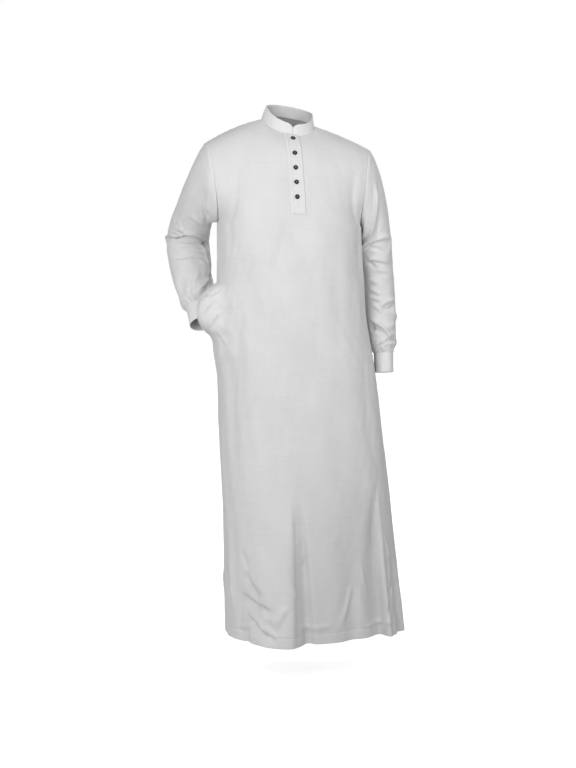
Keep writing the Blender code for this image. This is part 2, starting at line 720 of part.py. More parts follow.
def build_buttons(height, material):
    """Five turned buttons that stand on the placket, each square to the cloth under it."""
    for i in range(BUTTON_COUNT):
        u, v = place_on_front(BUTTON_X, BUTTON_FIRST - BUTTON_PITCH * i)
        step = 0.02
        patch = between_rows(np.array([u - step, u + step, u, u, u]),
                             np.array([v, v, v - step, v + step, v]))
        up = unit(patch[3] - patch[2])
        normal = unit(np.cross(patch[1] - patch[0], up))
        side = np.cross(up, normal)
        turn = np.linspace(0, 2 * np.pi, BUTTON_SEGMENTS, endpoint=False)
        bm = bmesh.new()
        rings = []
        for share, rise in BUTTON_PROFILE:
            centre = patch[4] + (height + rise) * normal
            if share == 0:
                rings.append([bm.verts.new(centre * MM)])
                continue
            radius = share * BUTTON_RADIUS
            rings.append([bm.verts.new((centre + radius * (math.cos(a) * side + math.sin(a) * up))
                                       * MM) for a in turn])
        for upper, lower in zip(rings, rings[1:]):
            for k in range(BUTTON_SEGMENTS):
                j = (k + 1) % BUTTON_SEGMENTS
                corners = [upper[k % len(upper)], lower[k % len(lower)],
                           lower[j % len(lower)], upper[j % len(upper)]]
                bm.faces.new(list(dict.fromkeys(corners)))
        bmesh.ops.recalc_face_normals(bm, faces=bm.faces)
        bmesh.ops.triangulate(bm, faces=bm.faces)
        name = "button_%d" % (i + 1)
        mesh = bpy.data.meshes.new(name)
        bm.to_mesh(mesh)
        bm.free()
        mesh.shade_smooth()
        mesh.set_sharp_from_angle(angle=math.radians(35))
        add_object(name, mesh, material)


def panel_inside(turn, level, lip, depth):
    """Points of a panel moved straight inwards."""
    small = 0.5
    across = skirt(turn + small, level, lip) - skirt(turn - small, level, lip)
    up = skirt(turn, level + small, lip) - skirt(turn, level - small, lip)
    return skirt(turn, level, lip) - depth * unit(np.cross(across, up))


def build_pocket_bag(material):
    """Pocket bag: its edge lies behind the two lips, and it closes to a rounded foot inside."""
    levels = row_levels()
    mouth = levels[smooth(LIP["level"], LIP["out"], levels) > BAG_LEAST_BOW]
    depth = WALL + BAG_GAP
    ahead = panel_inside(-90.0, mouth, 1.0, depth)
    behind = panel_inside(-90.0, mouth, 0.0, depth)
    loop = np.concatenate([ahead, behind[::-1]])
    centre = loop.mean(axis=0)
    angle = np.arctan2(loop[:, 2] - centre[2], -(loop[:, 1] - centre[1]))
    travel = np.array(BAG_FOOT) - centre
    rows = []
    for t in np.linspace(0, 1, BAG_ROWS + 1):
        shrink = math.sqrt(1 - (BAG_BLUNTNESS * t) ** 4)
        oval = np.stack([np.zeros_like(angle),
                         -BAG_HALF_THICKNESS * (1 - 0.3 * t ** 4) * np.cos(angle),
                         BAG_HALF_HEIGHT * shrink * np.sin(angle)], axis=-1)
        blend = ease(1.4 * t)
        inwards = travel * np.array((t * (1.35 - 0.35 * t), t, t * t))
        rows.append((1 - blend) * loop + blend * (centre + oval) + inwards)
    grid = np.array(rows)
    inner = grid + WALL * grid_normals(grid, True)
    inner[-1] += 2 * WALL * unit(inner[-2] - inner[-1])
    add_object("pocket_bag", wall_mesh("pocket_bag", grid, inner, True, True), material)


def clear_scene():
    """Start from an empty scene."""
    for piece in list(bpy.data.objects):
        bpy.data.objects.remove(piece, do_unlink=True)


def build():
    """Every piece of the robe."""
    clear_scene()
    cloth = cloth_material("white_cloth", (0.78, 0.78, 0.79), 0.9)
    doubled = cloth_material("white_cloth_doubled", (0.82, 0.82, 0.83), 0.88)
    tables = build_cloth(cloth)
    build_cuffs(tables, doubled)
    build_collar(doubled)
    height = build_plackets(doubled)
    build_buttons(height, button_material())
    build_pocket_bag(cloth)


build()
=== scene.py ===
# %% [markdown]
# # A white thobe robe, worn and empty
# This is an ankle-length robe with long sleeves, a stand collar and a short buttoned placket. It
# keeps the form that it had on a person: one arm bent towards the side pocket, one arm hanging.
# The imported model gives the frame: where each cut piece lies and how large it is. Here each piece
# is made again as thin cloth with its own creases, seams and stitches. All lengths are in
# millimetres until a mesh is made, because a tailor's sizes are easier to read that way.

import math

import bpy
import numpy as np
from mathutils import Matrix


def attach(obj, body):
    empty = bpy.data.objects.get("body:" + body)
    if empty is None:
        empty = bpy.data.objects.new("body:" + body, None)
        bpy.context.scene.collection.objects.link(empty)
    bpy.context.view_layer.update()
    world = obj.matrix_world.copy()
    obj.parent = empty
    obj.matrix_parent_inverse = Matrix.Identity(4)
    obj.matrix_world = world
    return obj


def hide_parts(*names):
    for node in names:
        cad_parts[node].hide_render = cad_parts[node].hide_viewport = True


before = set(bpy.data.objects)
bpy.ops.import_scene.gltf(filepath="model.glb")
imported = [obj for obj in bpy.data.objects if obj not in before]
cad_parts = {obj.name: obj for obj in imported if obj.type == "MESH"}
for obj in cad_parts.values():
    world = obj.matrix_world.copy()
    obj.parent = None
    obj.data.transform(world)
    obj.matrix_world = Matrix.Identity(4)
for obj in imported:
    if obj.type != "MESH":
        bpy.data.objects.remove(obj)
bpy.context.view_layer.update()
MM = 0.001
print("nodes in the frame:", len(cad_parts))

# %% [markdown]
# ## Small mathematics
# Cloth forms are smooth, so everything is built from two tools: a cubic curve through a few
# measured sizes, and an easing step with level ends. Tables have named columns, so that a row
# can be read without counting. A direction round the body is an angle called turn: 0 is the
# front centre, 90 the wearer's left and -90 the wearer's right.


# %% Curves and angles
def columns(names, rows):
    """A table as one array for each named column."""
    return dict(zip(names, np.array(rows, float).T))


def cubic(t, start, leave, end, arrive):
    """Curve from start (t 0) to end (t 1) with the slopes leave and arrive: Hermite's cubic."""
    return ((1 + 2 * t) * (1 - t) ** 2 * start + t * (1 - t) ** 2 * leave
            + t * t * (3 - 2 * t) * end + t * t * (t - 1) * arrive)


def smooth(x, y, at):
    """Cubic curve through the points (x, y); the slope at each comes from its neighbours."""
    slope = np.gradient(y, x)
    at = np.clip(at, x[0], x[-1])
    cell = np.clip(np.searchsorted(x, at) - 1, 0, len(x) - 2)
    step = x[cell + 1] - x[cell]
    return cubic((at - x[cell]) / step, y[cell], step * slope[cell], y[cell + 1],
                 step * slope[cell + 1])


def ease(t):
    """0 to 1 with level ends: 3 t squared minus 2 t cubed."""
    t = np.clip(t, 0, 1)
    return t * t * (3 - 2 * t)


def bell(t):
    """1 at 0 and fading both ways: e to the minus t squared."""
    return np.exp(-t * t)


def unit(vectors):
    """Vectors brought to length 1."""
    return vectors / np.maximum(np.linalg.norm(vectors, axis=-1, keepdims=True), 1e-9)


def apart(a, b):
    """Difference of two angles in degrees, between -180 and 180."""
    return (a - b + 180.0) % 360.0 - 180.0


def heading(angle):
    """Sine and cosine of an angle in degrees: the sideways and the forward part of a turn."""
    return np.sin(np.radians(angle)), np.cos(np.radians(angle))


def stops(*spans):
    """Places along a line: each span is its start, its end and its number of steps."""
    parts = [np.linspace(start, end, steps + 1)[:-1] for start, end, steps in spans]
    return np.concatenate(parts + [np.array([spans[-1][1]], float)])


print("ease(0.5) =", float(ease(0.5)), " bell(1) = %.3f" % bell(1.0))

# %% [markdown]
# ## The body of the robe
# Below the arms the robe is a tube of cloth, wider at the hem, held out by the wearer and falling
# in a few long folds. A tube could be sculpted, but a rounded oval whose sizes change with the
# level is easier to control: each row of the table is one measured level, from hem to chest.
# The folds are added as bells round the tube, each with its own place, lean, width and height.

# %% Sizes of the body
OVAL = 0.84                # power on sine and cosine: 1 is an ellipse, less is squarer
CHEST_RIGHT = -268.0       # level of the underarm on the wearer's right
CHEST_LEFT = -284.0        # and on the wearer's left
TILT_FROM = -700.0         # above this level the rows begin to tilt towards the underarms
WALLS = ("right", "left", "front", "back")
BODY = columns(("level", *WALLS), (
    (-1408, -172, 326, -190, 176),
    (-1300, -175, 315, -186, 172),
    (-1120, -179, 294, -180, 166),
    (-900, -188, 268, -171, 158),
    (-654, -195, 236, -162, 148),
    (-520, -196, 213, -160, 142),
    (-437, -196, 208, -160, 138),
    (-340, -194, 202, -160, 136),
    (-276, -194, 200, -158, 134),
))
HEM = BODY["level"][0]
CHEST = BODY["level"][-1]
print("length from the neck to the hem: %.0f mm" % -HEM)

# %% Long folds and the pocket's lip
FOLD_COLUMNS = ("turn", "lean", "width", "height", "top", "bottom", "closed")
MAIN_FOLDS = (
    (-27, -6, 15, 26, -860, -1408, 0),
    (-9, -4, 7, -20, -1000, -1408, 0),
    (25, 6, 27, -56, -880, -1408, 0),
    (52, -6, 9, 9, -1040, -1408, 0),
    (66, -5, 8, -12, -1000, -1408, 0),
    (-62, 5, 9, -9, -1120, -1408, 0),
    (112, 4, 12, -10, -900, -1408, 0),
    (140, 0, 12, 14, -900, -1408, 0),
    (166, 2, 11, -14, -760, -1408, 0),
    (-165, 0, 13, 16, -820, -1408, 0),
    (-138, -4, 12, -13, -880, -1408, 0),
    (-112, -2, 12, 8, -980, -1408, 0),
)
LIP = columns(("level", "out", "ahead"), (
    (-600, 0, 0),
    (-578, 14, 9),
    (-560, 37, 24),
    (-535, 55, 37),
    (-505, 60, 41),
    (-475, 52, 37),
    (-455, 30, 24),
    (-437, 0, 0),
))
LIP_SPREAD = 18.0          # degrees round the body over which the front lip's bow fades
SWELL = {"height": 13.0, "level": -604.0, "tall": 60.0, "spread": 30.0}
RIGHT = -90.0              # turn of the wearer's right side, where the pocket is
print("main folds:", len(MAIN_FOLDS), " pocket's mouth: %.0f mm" % np.ptp(LIP["level"]))

# %% [markdown]
# ## The surface below the chest
# A point of the cloth is given by its turn and its level. The oval's sizes at that level give
# the plain point, and the folds push it out or in. One side carries the pocket: its front lip
# bows out as it does when a hand goes in, and the cloth swells a little below it.


# %% The surface below the chest
def folds(table, turn, level):
    """Sum of long folds: a bell across each, a slow start at its top and, if closed, an end."""
    total = np.zeros(np.broadcast(turn, level).shape)
    for row in table:
        fold = dict(zip(FOLD_COLUMNS, row))
        down = np.clip((fold["top"] - level) / (fold["top"] - fold["bottom"]), 0, 1)
        middle = fold["turn"] + fold["lean"] * (1 - down)
        fade = ease(down) * (1 - fold["closed"] * ease((down - 0.6) / 0.4))
        total = total + fold["height"] * bell(apart(turn, middle) / fold["width"]) * fade
    return total


def skirt(turn, level, lip):
    """Body surface from the hem to the chest: an oval section with folds, at a level tilted
    near the chest so that the top row meets both underarms; lip 1 bows the pocket's lip out."""
    right, left, front, back = (smooth(BODY["level"], BODY[k], level) for k in WALLS)
    side, ahead = heading(turn)
    swell = bell(apart(turn, RIGHT) / SWELL["spread"]) * bell(
        (level - SWELL["level"]) / SWELL["tall"])
    out = folds(MAIN_FOLDS, turn, level) + SWELL["height"] * swell
    x = (left + right) / 2 + (left - right) / 2 * np.sign(side) * np.abs(side) ** OVAL
    y = np.where(ahead >= 0, front, back) * np.abs(ahead) ** OVAL
    inside = (level > LIP["level"][0]) & (level < LIP["level"][-1])
    near_lip = lip * inside * bell(apart(turn, RIGHT) / LIP_SPREAD)
    x = x + out * side - near_lip * smooth(LIP["level"], LIP["out"], level)
    y = y - out * ahead - near_lip * smooth(LIP["level"], LIP["ahead"], level)
    share = ease((level - TILT_FROM) / (CHEST - TILT_FROM))
    swing = (CHEST_LEFT - CHEST_RIGHT) / 2 * side
    z = level + share * ((CHEST_LEFT + CHEST_RIGHT) / 2 - CHEST + swing)
    return np.stack(np.broadcast_arrays(x, y, z), axis=-1)


print("front centre of the hem:", skirt(np.array(0.0), np.array(HEM), 0).round(0))

# %% [markdown]
# ## Neck, shoulders and armholes
# A tailor cuts these seams first, because everything above the chest hangs from them. The neck
# seam is an oval, lower in front. Each armhole is an oval seam from the shoulder point to the
# underarm, bowed ahead and behind. The yoke, the cloth between chest and seams, is then a family
# of curves that rise from the chest and round over to the top edge.

# %% Sizes of the neck and the armholes
NECK = {"half_width": 71.0, "front": -66.0, "back": 58.0, "drop": 41.0, "lift": 14.0,
        "roll": -0.13, "rise": 4.0, "seam_turn": 84.0}
SIDES = {
    "right": {"sign": -1.0, "shoulder": (-224.0, 2.0, -56.0),
              "underarm": (-194.0, 0.0, CHEST_RIGHT), "ahead": (-5.0, -92.0, 6.0),
              "behind": (6.0, 86.0, 4.0), "arch": 8.0, "twist": 35.0},
    "left": {"sign": 1.0, "shoulder": (225.0, 2.0, -72.0),
             "underarm": (200.0, 0.0, CHEST_LEFT), "ahead": (-16.0, -92.0, 6.0),
             "behind": (-8.0, 86.0, 4.0), "arch": 4.0, "twist": 0.0},
}
SHOULDER_SHARE = {True: 7 / 24, False: 7 / 22}   # of the panel's width, front and back
YOKE_ROUNDNESS = 0.9       # how strongly the cloth rounds out between chest and shoulder
YOKE_END = (0.0, 0.75, 0.66)   # the way the front arrives at its top edge: inwards and up
CORNER_SPAN = 0.28         # share of the width over which a corner of the top edge softens
CORNER_DEPTH = 0.6         # share of the yoke's height in which that span grows to the full
CORNER_SAMPLES = 9         # points of the top edge in each average
ARMHOLE_REACH = 0.6        # share of the width over which an armhole's curve fades out
print("neck opening: %.0f mm wide" % (2 * NECK["half_width"]))


# %% The seams as curves
def neck_point(turn):
    """Neck seam: an oval, lower in front and rolled a little to the wearer's left."""
    side, ahead = heading(turn)
    x = NECK["half_width"] * side
    y = np.where(ahead >= 0, NECK["front"], NECK["back"]) * np.abs(ahead)
    z = NECK["rise"] - np.where(ahead >= 0, NECK["drop"], NECK["lift"]) * ahead
    return np.stack(np.broadcast_arrays(x, y, z + NECK["roll"] * x), axis=-1)


def armhole(side, ring):
    """Armhole seam: ring 0 at the shoulder point, 90 in front, 180 underarm, 270 behind."""
    top = np.array(side["shoulder"])
    low = np.array(side["underarm"])
    s, c = heading(ring[..., None])
    bow = np.where(s >= 0, np.array(side["ahead"]), np.array(side["behind"]))
    return (top + low) / 2 + (top - low) / 2 * c + bow * np.abs(s)


def shoulder_seam(side, t):
    """Seam from the shoulder point (t 0) to the neck (t 1), a little arched."""
    start = np.array(side["shoulder"])
    end = neck_point(np.array(side["sign"] * NECK["seam_turn"]))
    t = t[..., None]
    return start + (end - start) * t + np.array((0, 0, side["arch"])) * 4 * t * (1 - t)


def panel_top(u, front):
    """Top edge of a panel: shoulder seam, neckline, shoulder seam."""
    share = SHOULDER_SHARE[front]
    right = shoulder_seam(SIDES["right"], np.clip(u / share, 0, 1))
    left = shoulder_seam(SIDES["left"], np.clip((1 - u) / share, 0, 1))
    t = np.clip((u - share) / (1 - 2 * share), 0, 1)
    seam = NECK["seam_turn"]
    turn = -seam + 2 * seam * t if front else -seam - (360 - 2 * seam) * t
    u = u[..., None]
    return np.where(u < share, right, np.where(u > 1 - share, left, neck_point(turn)))


print("armhole round: %.0f mm" % np.linalg.norm(
    np.diff(armhole(SIDES["left"], np.linspace(0, 360, 200)), axis=0), axis=-1).sum())

# %% [markdown]
# ## The yoke
# Above the chest the cloth lies over the shoulders, so an oval section no longer serves. Curves
# rise from the chest instead and round over to the top edge. They are bent at both sides so that
# the outermost one lies on the armhole seam.


# %% The surface above the chest
def softened_top(u, v, front):
    """Top edge averaged over a span that grows down the cloth, so that its corners fade out."""
    room = np.minimum(1, np.minimum(u, 1 - u) / CORNER_SPAN)
    span = CORNER_SPAN * ease((1 - v) / CORNER_DEPTH) * room
    total, weight = 0.0, 0.0
    for k in np.linspace(-1, 1, CORNER_SAMPLES):
        share = math.cos(k * math.pi / 2.5)
        total = total + share * panel_top(u + k * span, front)
        weight += share
    return total / weight


def rise(low, high, v, front):
    """Cubic from the chest to the top edge: straight up at first, then rounding over."""
    reach = YOKE_ROUNDNESS * np.linalg.norm(high - low, axis=-1, keepdims=True)
    arrive = unit(np.array(YOKE_END) * (1, 1 if front else -1, 1))
    return cubic(v[..., None], low, np.array((0, 0, 1.0)) * reach, high, arrive * reach)


def turn_taken(side, ring, front):
    """Degrees of the chest section that lie outside the armhole seam."""
    depth = abs(BODY["front" if front else "back"][-1])
    share = np.clip(np.abs(armhole(side, ring)[..., 1]) / depth, 0, 1)
    return np.degrees(np.arcsin(share ** (1 / OVAL)))


def yoke(u, v, front):
    """Panel above the chest: u from the wearer's right to the left, v from the chest up. Curves
    that rise from the chest are bent at the sides so that they end on the armhole seams."""
    u, v = np.broadcast_arrays(u, v)
    ring = 180 - 180 * v if front else 180 + 180 * v
    first = RIGHT + turn_taken(SIDES["right"], ring, front)
    last = -RIGHT - turn_taken(SIDES["left"], ring, front)
    chest = CHEST + np.zeros_like(u)

    def section(place):
        """Chest section between the two armholes, at a place from 0 to 1."""
        turn = first + (last - first) * place
        return skirt(turn if front else -180 - turn, chest, 0)

    points = rise(section(u), softened_top(u, v, front), v, front)
    ends = {"right": (u, 0.0), "left": (1 - u, 1.0)}
    for name, side in SIDES.items():
        distance, place = ends[name]
        plain = rise(section(place), np.array(side["shoulder"]), v, front)
        near = 1 - ease(distance / ARMHOLE_REACH)
        points = points + near[..., None] * (armhole(side, ring) - plain)
    return points


print("middle of the front yoke:", yoke(np.array(0.5), np.array(0.5), True).round(0))

# %% [markdown]
# ## Sleeves and cuffs
# A sleeve is a tube that follows the arm inside it. A curve with a bevel would give a round pipe
# of one width, so the tube is worked out instead: a table gives the centre line and the two half
# sizes of each ring, and a cubic blend carries the armhole seam into the first ring.

# %% Sizes of the sleeves
ARM_COLUMNS = ("x", "y", "z", "across", "deep")
ARMS = {
    "right": columns(ARM_COLUMNS, (
        (-246, 92, -245, 53, 62),
        (-254, 131, -282, 57, 60),
        (-258, 150, -327, 60, 55),
        (-254, 138, -383, 59, 52),
        (-249, 104, -430, 55, 50),
        (-244, 66, -476, 47, 46),
        (-240, 42, -505, 36, 38),
        (-236, 14, -546, 34, 37),
    )),
    "left": columns(ARM_COLUMNS, (
        (250, 8, -336, 41, 57),
        (255, 12, -400, 42, 56),
        (260, 10, -470, 42, 54),
        (262, 2, -540, 41, 52),
        (266, -8, -600, 35, 48),
        (267, -14, -634, 26, 43),
        (267, -20, -684, 25, 42),
    )),
}
HEAD_OUT = (0.72, 0.05, -0.69)  # the way the sleeve leaves the armhole, mirrored for each side
HEAD_PULL = 0.55           # strength of that direction, as a share of the distance
print("rows of the tables:", {name: len(table["x"]) for name, table in ARMS.items()})


# %% The surface of a sleeve
def arm_frame(table, along):
    """Centre, direction and half sizes of a sleeve's ring at places along its table. The
    direction is taken from two points a small step before and after the centre."""
    place = np.arange(len(table["x"]), dtype=float)
    small = 0.02
    centre, after, before = (
        np.stack([smooth(place, table[k], along + step) for k in "xyz"], axis=-1)
        for step in (0.0, small, -small))
    across, deep = (smooth(place, table[k], along) for k in ("across", "deep"))
    return centre, unit(after - before), across, deep


def arm_ring(side, table, along, ring):
    """Oval ring at each place along the arm, square to its centre line."""
    centre, down, across, deep = arm_frame(table, along)
    outward = np.array((side["sign"], 0.0, 0.0))
    out = unit(outward - down * (down @ outward)[..., None])
    ahead = np.cross(down, out) * side["sign"]
    s, c = heading(ring[None, :, None])
    return (centre[:, None] + c * (across[:, None] * out)[:, None]
            + s * (deep[:, None] * ahead)[:, None])


def sleeve_form(side, table, head, along, ring):
    """A sleeve: a cubic from the armhole (head 0) to the first ring (head 1), then the rings."""
    arm = arm_ring(side, table, along, ring - side["twist"])
    start = armhole(side, ring)
    reach = np.linalg.norm(arm[0] - start, axis=-1, keepdims=True)
    leave = unit(np.array((side["sign"] * HEAD_OUT[0], HEAD_OUT[1], HEAD_OUT[2])))
    down = arm_frame(table, np.array([0.05]))[1]
    onward = ((arm[0] - start) @ down[0])[:, None]
    pull = np.clip(onward, 0.2 * reach, reach) * down
    blend = cubic(head[:-1, None, None], start, HEAD_PULL * reach * leave, arm[0], pull)
    return np.concatenate([blend, arm], axis=0)


print("cuff of the hanging arm, round: %.0f mm" % np.linalg.norm(np.diff(arm_ring(
    SIDES["left"], ARMS["left"], np.array([6.0]), np.linspace(0, 360, 90))[0], axis=0),
    axis=-1).sum())

# %% [markdown]
# ## Creases
# Worn cloth is never smooth: it drags from the points that hold it and breaks where a limb bends.
# A cloth simulation gives such folds in places of its own choosing. Here the folds have known
# places, so each is written down as a short line across the cloth with a width and a height. One
# formula serves them all: a bell across the line for a soft ridge or a trough, or a ridge beside
# a trough for a roll. Where the cloth breaks, one side of the bell is steep and the other slow.
# All of them fade out at the ends of the line. In a break's row, width is its soft side.

# %% The path of a crease
def beside(c, turn, level, per_degree):
    """Distance in mm from a crease's path, and the share of its strength there. The distance is
    above 0 on the left of a path that runs down; per_degree is the length of a degree, and its
    mean over the rows near the crease turns degrees into mm."""
    middle = (c["level"] + c["to_level"]) / 2
    near = np.abs(level - middle) < abs(c["to_level"] - c["level"]) / 2 + 6 * c["width"] + 40
    scale = float((per_degree * near).sum() / max(near.sum(), 1))
    run = apart(c["to_turn"], c["turn"]) * scale
    climb = c["to_level"] - c["level"]
    length = math.hypot(run, climb)
    dx = apart(turn, c["turn"]) * scale
    dy = level - c["level"]
    t = (dx * run + dy * climb) / length ** 2
    arc = c["bend"] * 4 * np.clip(t, 0, 1) * (1 - np.clip(t, 0, 1))
    ends = ease((t + 0.15) / 0.4) * ease((1.15 - t) / 0.4)
    return (dx * climb - dy * run) / length - arc, ends


trial = {"turn": 0, "level": 0, "to_turn": 0, "to_level": -100, "bend": 0, "width": 5}
print("10 degrees of 4 mm from a crease: %.0f mm" % abs(beside(trial, 10.0, -50.0,
                                                             np.array([4.0]))[0]))


# %% The crease formula
CREASE_COLUMNS = ("turn", "level", "to_turn", "to_level", "bend", "width", "height", "roll")
BREAK_COLUMNS = ("turn", "level", "to_turn", "to_level", "bend", "width", "sharp", "height")


def crease_lift(c, across):
    """Height times a bell, plus roll times the bell's own slope, which peaks at 1."""
    d = across / c["width"]
    return bell(d) * (c["height"] + c["roll"] * 2.3 * d)


def break_lift(c, across):
    """Height times a bell that is soft on the left of a path that runs down and sharp beyond."""
    return bell(across / np.where(across > 0, c["width"], c["sharp"])) * c["height"]


def lines_lift(table, names, profile, turn, level, per_degree):
    """Lift in mm of all lines of a table: the profile across each path, fading at its ends."""
    total = np.zeros(np.broadcast(turn, level).shape)
    for row in table:
        line = dict(zip(names, row))
        across, ends = beside(line, turn, level, per_degree)
        total = total + ends * profile(line, across)
    return total


def creases(table, turn, level, per_degree):
    """Lift of a table of creases."""
    return lines_lift(table, CREASE_COLUMNS, crease_lift, turn, level, per_degree)


def breaks(table, turn, level, per_degree):
    """Lift of a table of breaks."""
    return lines_lift(table, BREAK_COLUMNS, break_lift, turn, level, per_degree)


print("a crease row holds:", ", ".join(CREASE_COLUMNS))
print("a break row holds:", ", ".join(BREAK_COLUMNS))


# %% A faint unevenness
WAVES = 9


def ripple(turn, level, per_degree, across, along, amount, seed):
    """Faint unevenness: seeded waves, about across mm wide and along mm long, whose sum is
    divided by the square root of their number to keep its size near amount."""
    draw = np.random.default_rng(seed)
    x = turn * np.mean(per_degree)
    total = 0.0
    for _ in range(WAVES):
        wide = across * draw.uniform(0.7, 1.6)
        tall = along * draw.uniform(0.6, 1.7) * draw.choice((-1, 1))
        phase = draw.uniform(0, 2 * np.pi)
        total = total + np.sin(2 * np.pi * (x / wide + level / tall) + phase)
    return amount * total / math.sqrt(WAVES)


print("waves in a ripple:", WAVES)

# %% [markdown]
# ## From a grid to cloth
# A piece of cloth has two faces and an edge. A Solidify modifier could add the second face, but
# the two grids are already arrays, so the inner face is simply the outer one moved in along its
# normals. The edges are closed with strips, and a rounded edge gets a few extra rows that run
# over from one face to the other. The map that the weave follows counts real lengths in metres,
# so every piece shows threads of the same size.


# %% Normals and lengths of a grid
def normals_of(points, closed, sign=1.0):
    """Unit normals of a grid: the cross product of its two directions."""
    if closed:
        across = np.roll(points, -1, axis=1) - np.roll(points, 1, axis=1)
    else:
        across = np.gradient(points, axis=1)
    return unit(np.cross(across, np.gradient(points, axis=0))) * sign


def lengths(points, axis):
    """Running length along a grid's rows (axis 0) or columns (axis 1), from 0."""
    step = np.linalg.norm(np.diff(points, axis=axis), axis=-1)
    pad = [(0, 0), (0, 0)]
    pad[axis] = (1, 0)
    return np.cumsum(np.pad(step, pad), axis=axis)


def joined(grid):
    """A tube's grid with its first column repeated at the end."""
    return np.concatenate([grid, grid[:, :1]], axis=1)


def area_of(grid, closed=False):
    """Area of one face of a grid in square metres."""
    full = joined(grid) if closed else grid
    across = (full[1:, 1:] + full[:-1, 1:] - full[1:, :-1] - full[:-1, :-1]) / 2
    up = (full[1:, 1:] + full[1:, :-1] - full[:-1, 1:] - full[:-1, :-1]) / 2
    return float(np.linalg.norm(np.cross(across, up), axis=-1).sum()) * MM * MM


def new_piece(name, points, faces, material, smoothed=True):
    """Object of a mesh given in mm. It stays at the origin and rides on the robe's one body."""
    mesh = bpy.data.meshes.new(name)
    mesh.from_pydata(points * MM, [], faces)
    mesh.materials.append(material)
    if smoothed:
        mesh.shade_smooth()
    piece = bpy.data.objects.new(name, mesh)
    bpy.context.scene.collection.objects.link(piece)
    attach(piece, "root")
    return piece


print("area of a 2 m square: %.1f m2" % area_of(
    np.array([[[0, 0, 0], [2000, 0, 0]], [[0, 2000, 0], [2000, 2000, 0]]])))

# %% [markdown]
# ## Shells
# The outer face, the rim, the inner face and the lower edge make one loop of rows, so one
# formula numbers all the faces. A tube closes on itself; a panel gets a strip along both sides.


# %% Faces of a shell
def loop_corners(count, cols, closed, sign):
    """Row and column of every corner of the quads between neighbouring rows of the loop."""
    r, c = np.meshgrid(np.arange(count), np.arange(cols if closed else cols - 1), indexing="ij")
    corner_rows = np.stack([r, r, r + 1, r + 1], axis=-1).reshape(-1, 4)
    corner_cols = np.stack([c, c + 1, c + 1, c], axis=-1).reshape(-1, 4)
    if sign < 0:
        return corner_rows[:, ::-1], corner_cols[:, ::-1]
    return corner_rows, corner_cols


def side_strips(rows, cols, count, round_top, sign):
    """Faces that close the two side edges of a shell: a strip of quads and a cap at each end."""
    outer = np.arange(rows)
    inner = rows + round_top + np.arange(rows)[::-1]
    faces, corners = [], []
    for column, turned in ((0, sign > 0), (cols - 1, sign < 0)):
        quads = np.stack([outer[:-1], outer[1:], inner[1:], inner[:-1]], axis=-1)
        top = np.arange(rows - 1, rows + round_top + 1)
        bottom = np.concatenate([np.arange(inner[0], count), [0]])
        loops = quads.tolist()
        loops += [loop.tolist() for loop in (top, bottom) if len(loop) > 2]
        for loop in loops:
            loop = loop if turned else loop[::-1]
            faces.append([k * cols + column for k in loop])
            corners += [(k, column) for k in loop]
    return faces, np.array(corners)


print("quads of 4 closed rows of 6:", len(loop_corners(4, 6, True, 1.0)[0]))


# %% Shells
SHARP_EDGE = math.radians(60)    # edges bent more than this stay sharp


def cloth_map(points, closed):
    """Map in metres: the length across from the middle column and the length up."""
    full = joined(points) if closed else points
    across = lengths(full, 1)
    across = across - across[:, across.shape[1] // 2][:, None]
    up = lengths(full, 0).mean(axis=1, keepdims=True) + np.zeros_like(across)
    return np.stack([across, up], axis=-1) * MM


def rounded_rim(outer, inner, onward, rows):
    """Rows of a half circle that carry the cloth from its outer face over to its inner one."""
    angle = np.linspace(0, np.pi, rows + 2)[1:-1, None, None]
    middle = (outer + inner) / 2
    half = (outer - inner) / 2
    reach = np.linalg.norm(half, axis=-1, keepdims=True) * onward
    return middle + np.cos(angle) * half + np.sin(angle) * reach


def shell(name, outer, inner, closed, material, round_top=0, round_bottom=0, sign=1.0):
    """Object with an outer and an inner face; rows run up, columns run right to left. The whole
    section is one loop of rows: up the outer face, over the top, down the inner face, back."""
    rows, cols = outer.shape[:2]
    over = rounded_rim(outer[-1], inner[-1], unit(outer[-1] - outer[-2]), round_top)
    under = rounded_rim(inner[0], outer[0], unit(outer[0] - outer[1]), round_bottom)
    loop = np.concatenate([outer, over, inner[::-1], under], axis=0)
    count = len(loop)
    corner_rows, corner_cols = loop_corners(count, cols, closed, sign)
    faces = ((corner_rows % count) * cols + corner_cols % cols).tolist()
    flat = cloth_map(outer, closed)
    spread = np.concatenate([flat, np.repeat(flat[-1:], round_top, 0), flat[::-1],
                             np.repeat(flat[:1], round_bottom, 0)], axis=0)
    uv = spread[corner_rows % count, corner_cols].reshape(-1, 2)
    if not closed:
        ends, end_uv = side_strips(rows, cols, count, round_top, sign)
        faces += ends
        uv = np.concatenate([uv, spread[end_uv[:, 0], end_uv[:, 1]]])
    piece = new_piece(name, loop.reshape(-1, 3), faces, material)
    layer = piece.data.uv_layers.new(name="cloth")
    layer.data.foreach_set("uv", uv.astype(np.float32).ravel())
    piece.data.set_sharp_from_angle(angle=SHARP_EDGE)
    return piece


print("edges above %.0f degrees stay sharp" % math.degrees(SHARP_EDGE))

# %% [markdown]
# ## Nodes
# A material is a small network of nodes, and adding them one by one takes many lines. A few
# helpers keep the recipes short enough to read: a node with its values set, arithmetic between
# two values, a stretched noise, a colour ramp and a relief.


# %% Helpers for nodes
def node(tree, kind, **values):
    """A node with its properties and its named or numbered inputs set."""
    made = tree.nodes.new(kind)
    for key, value in values.items():
        if hasattr(made, key):
            setattr(made, key, value)
        else:
            made.inputs[key.replace("_", " ")].default_value = value
    return made


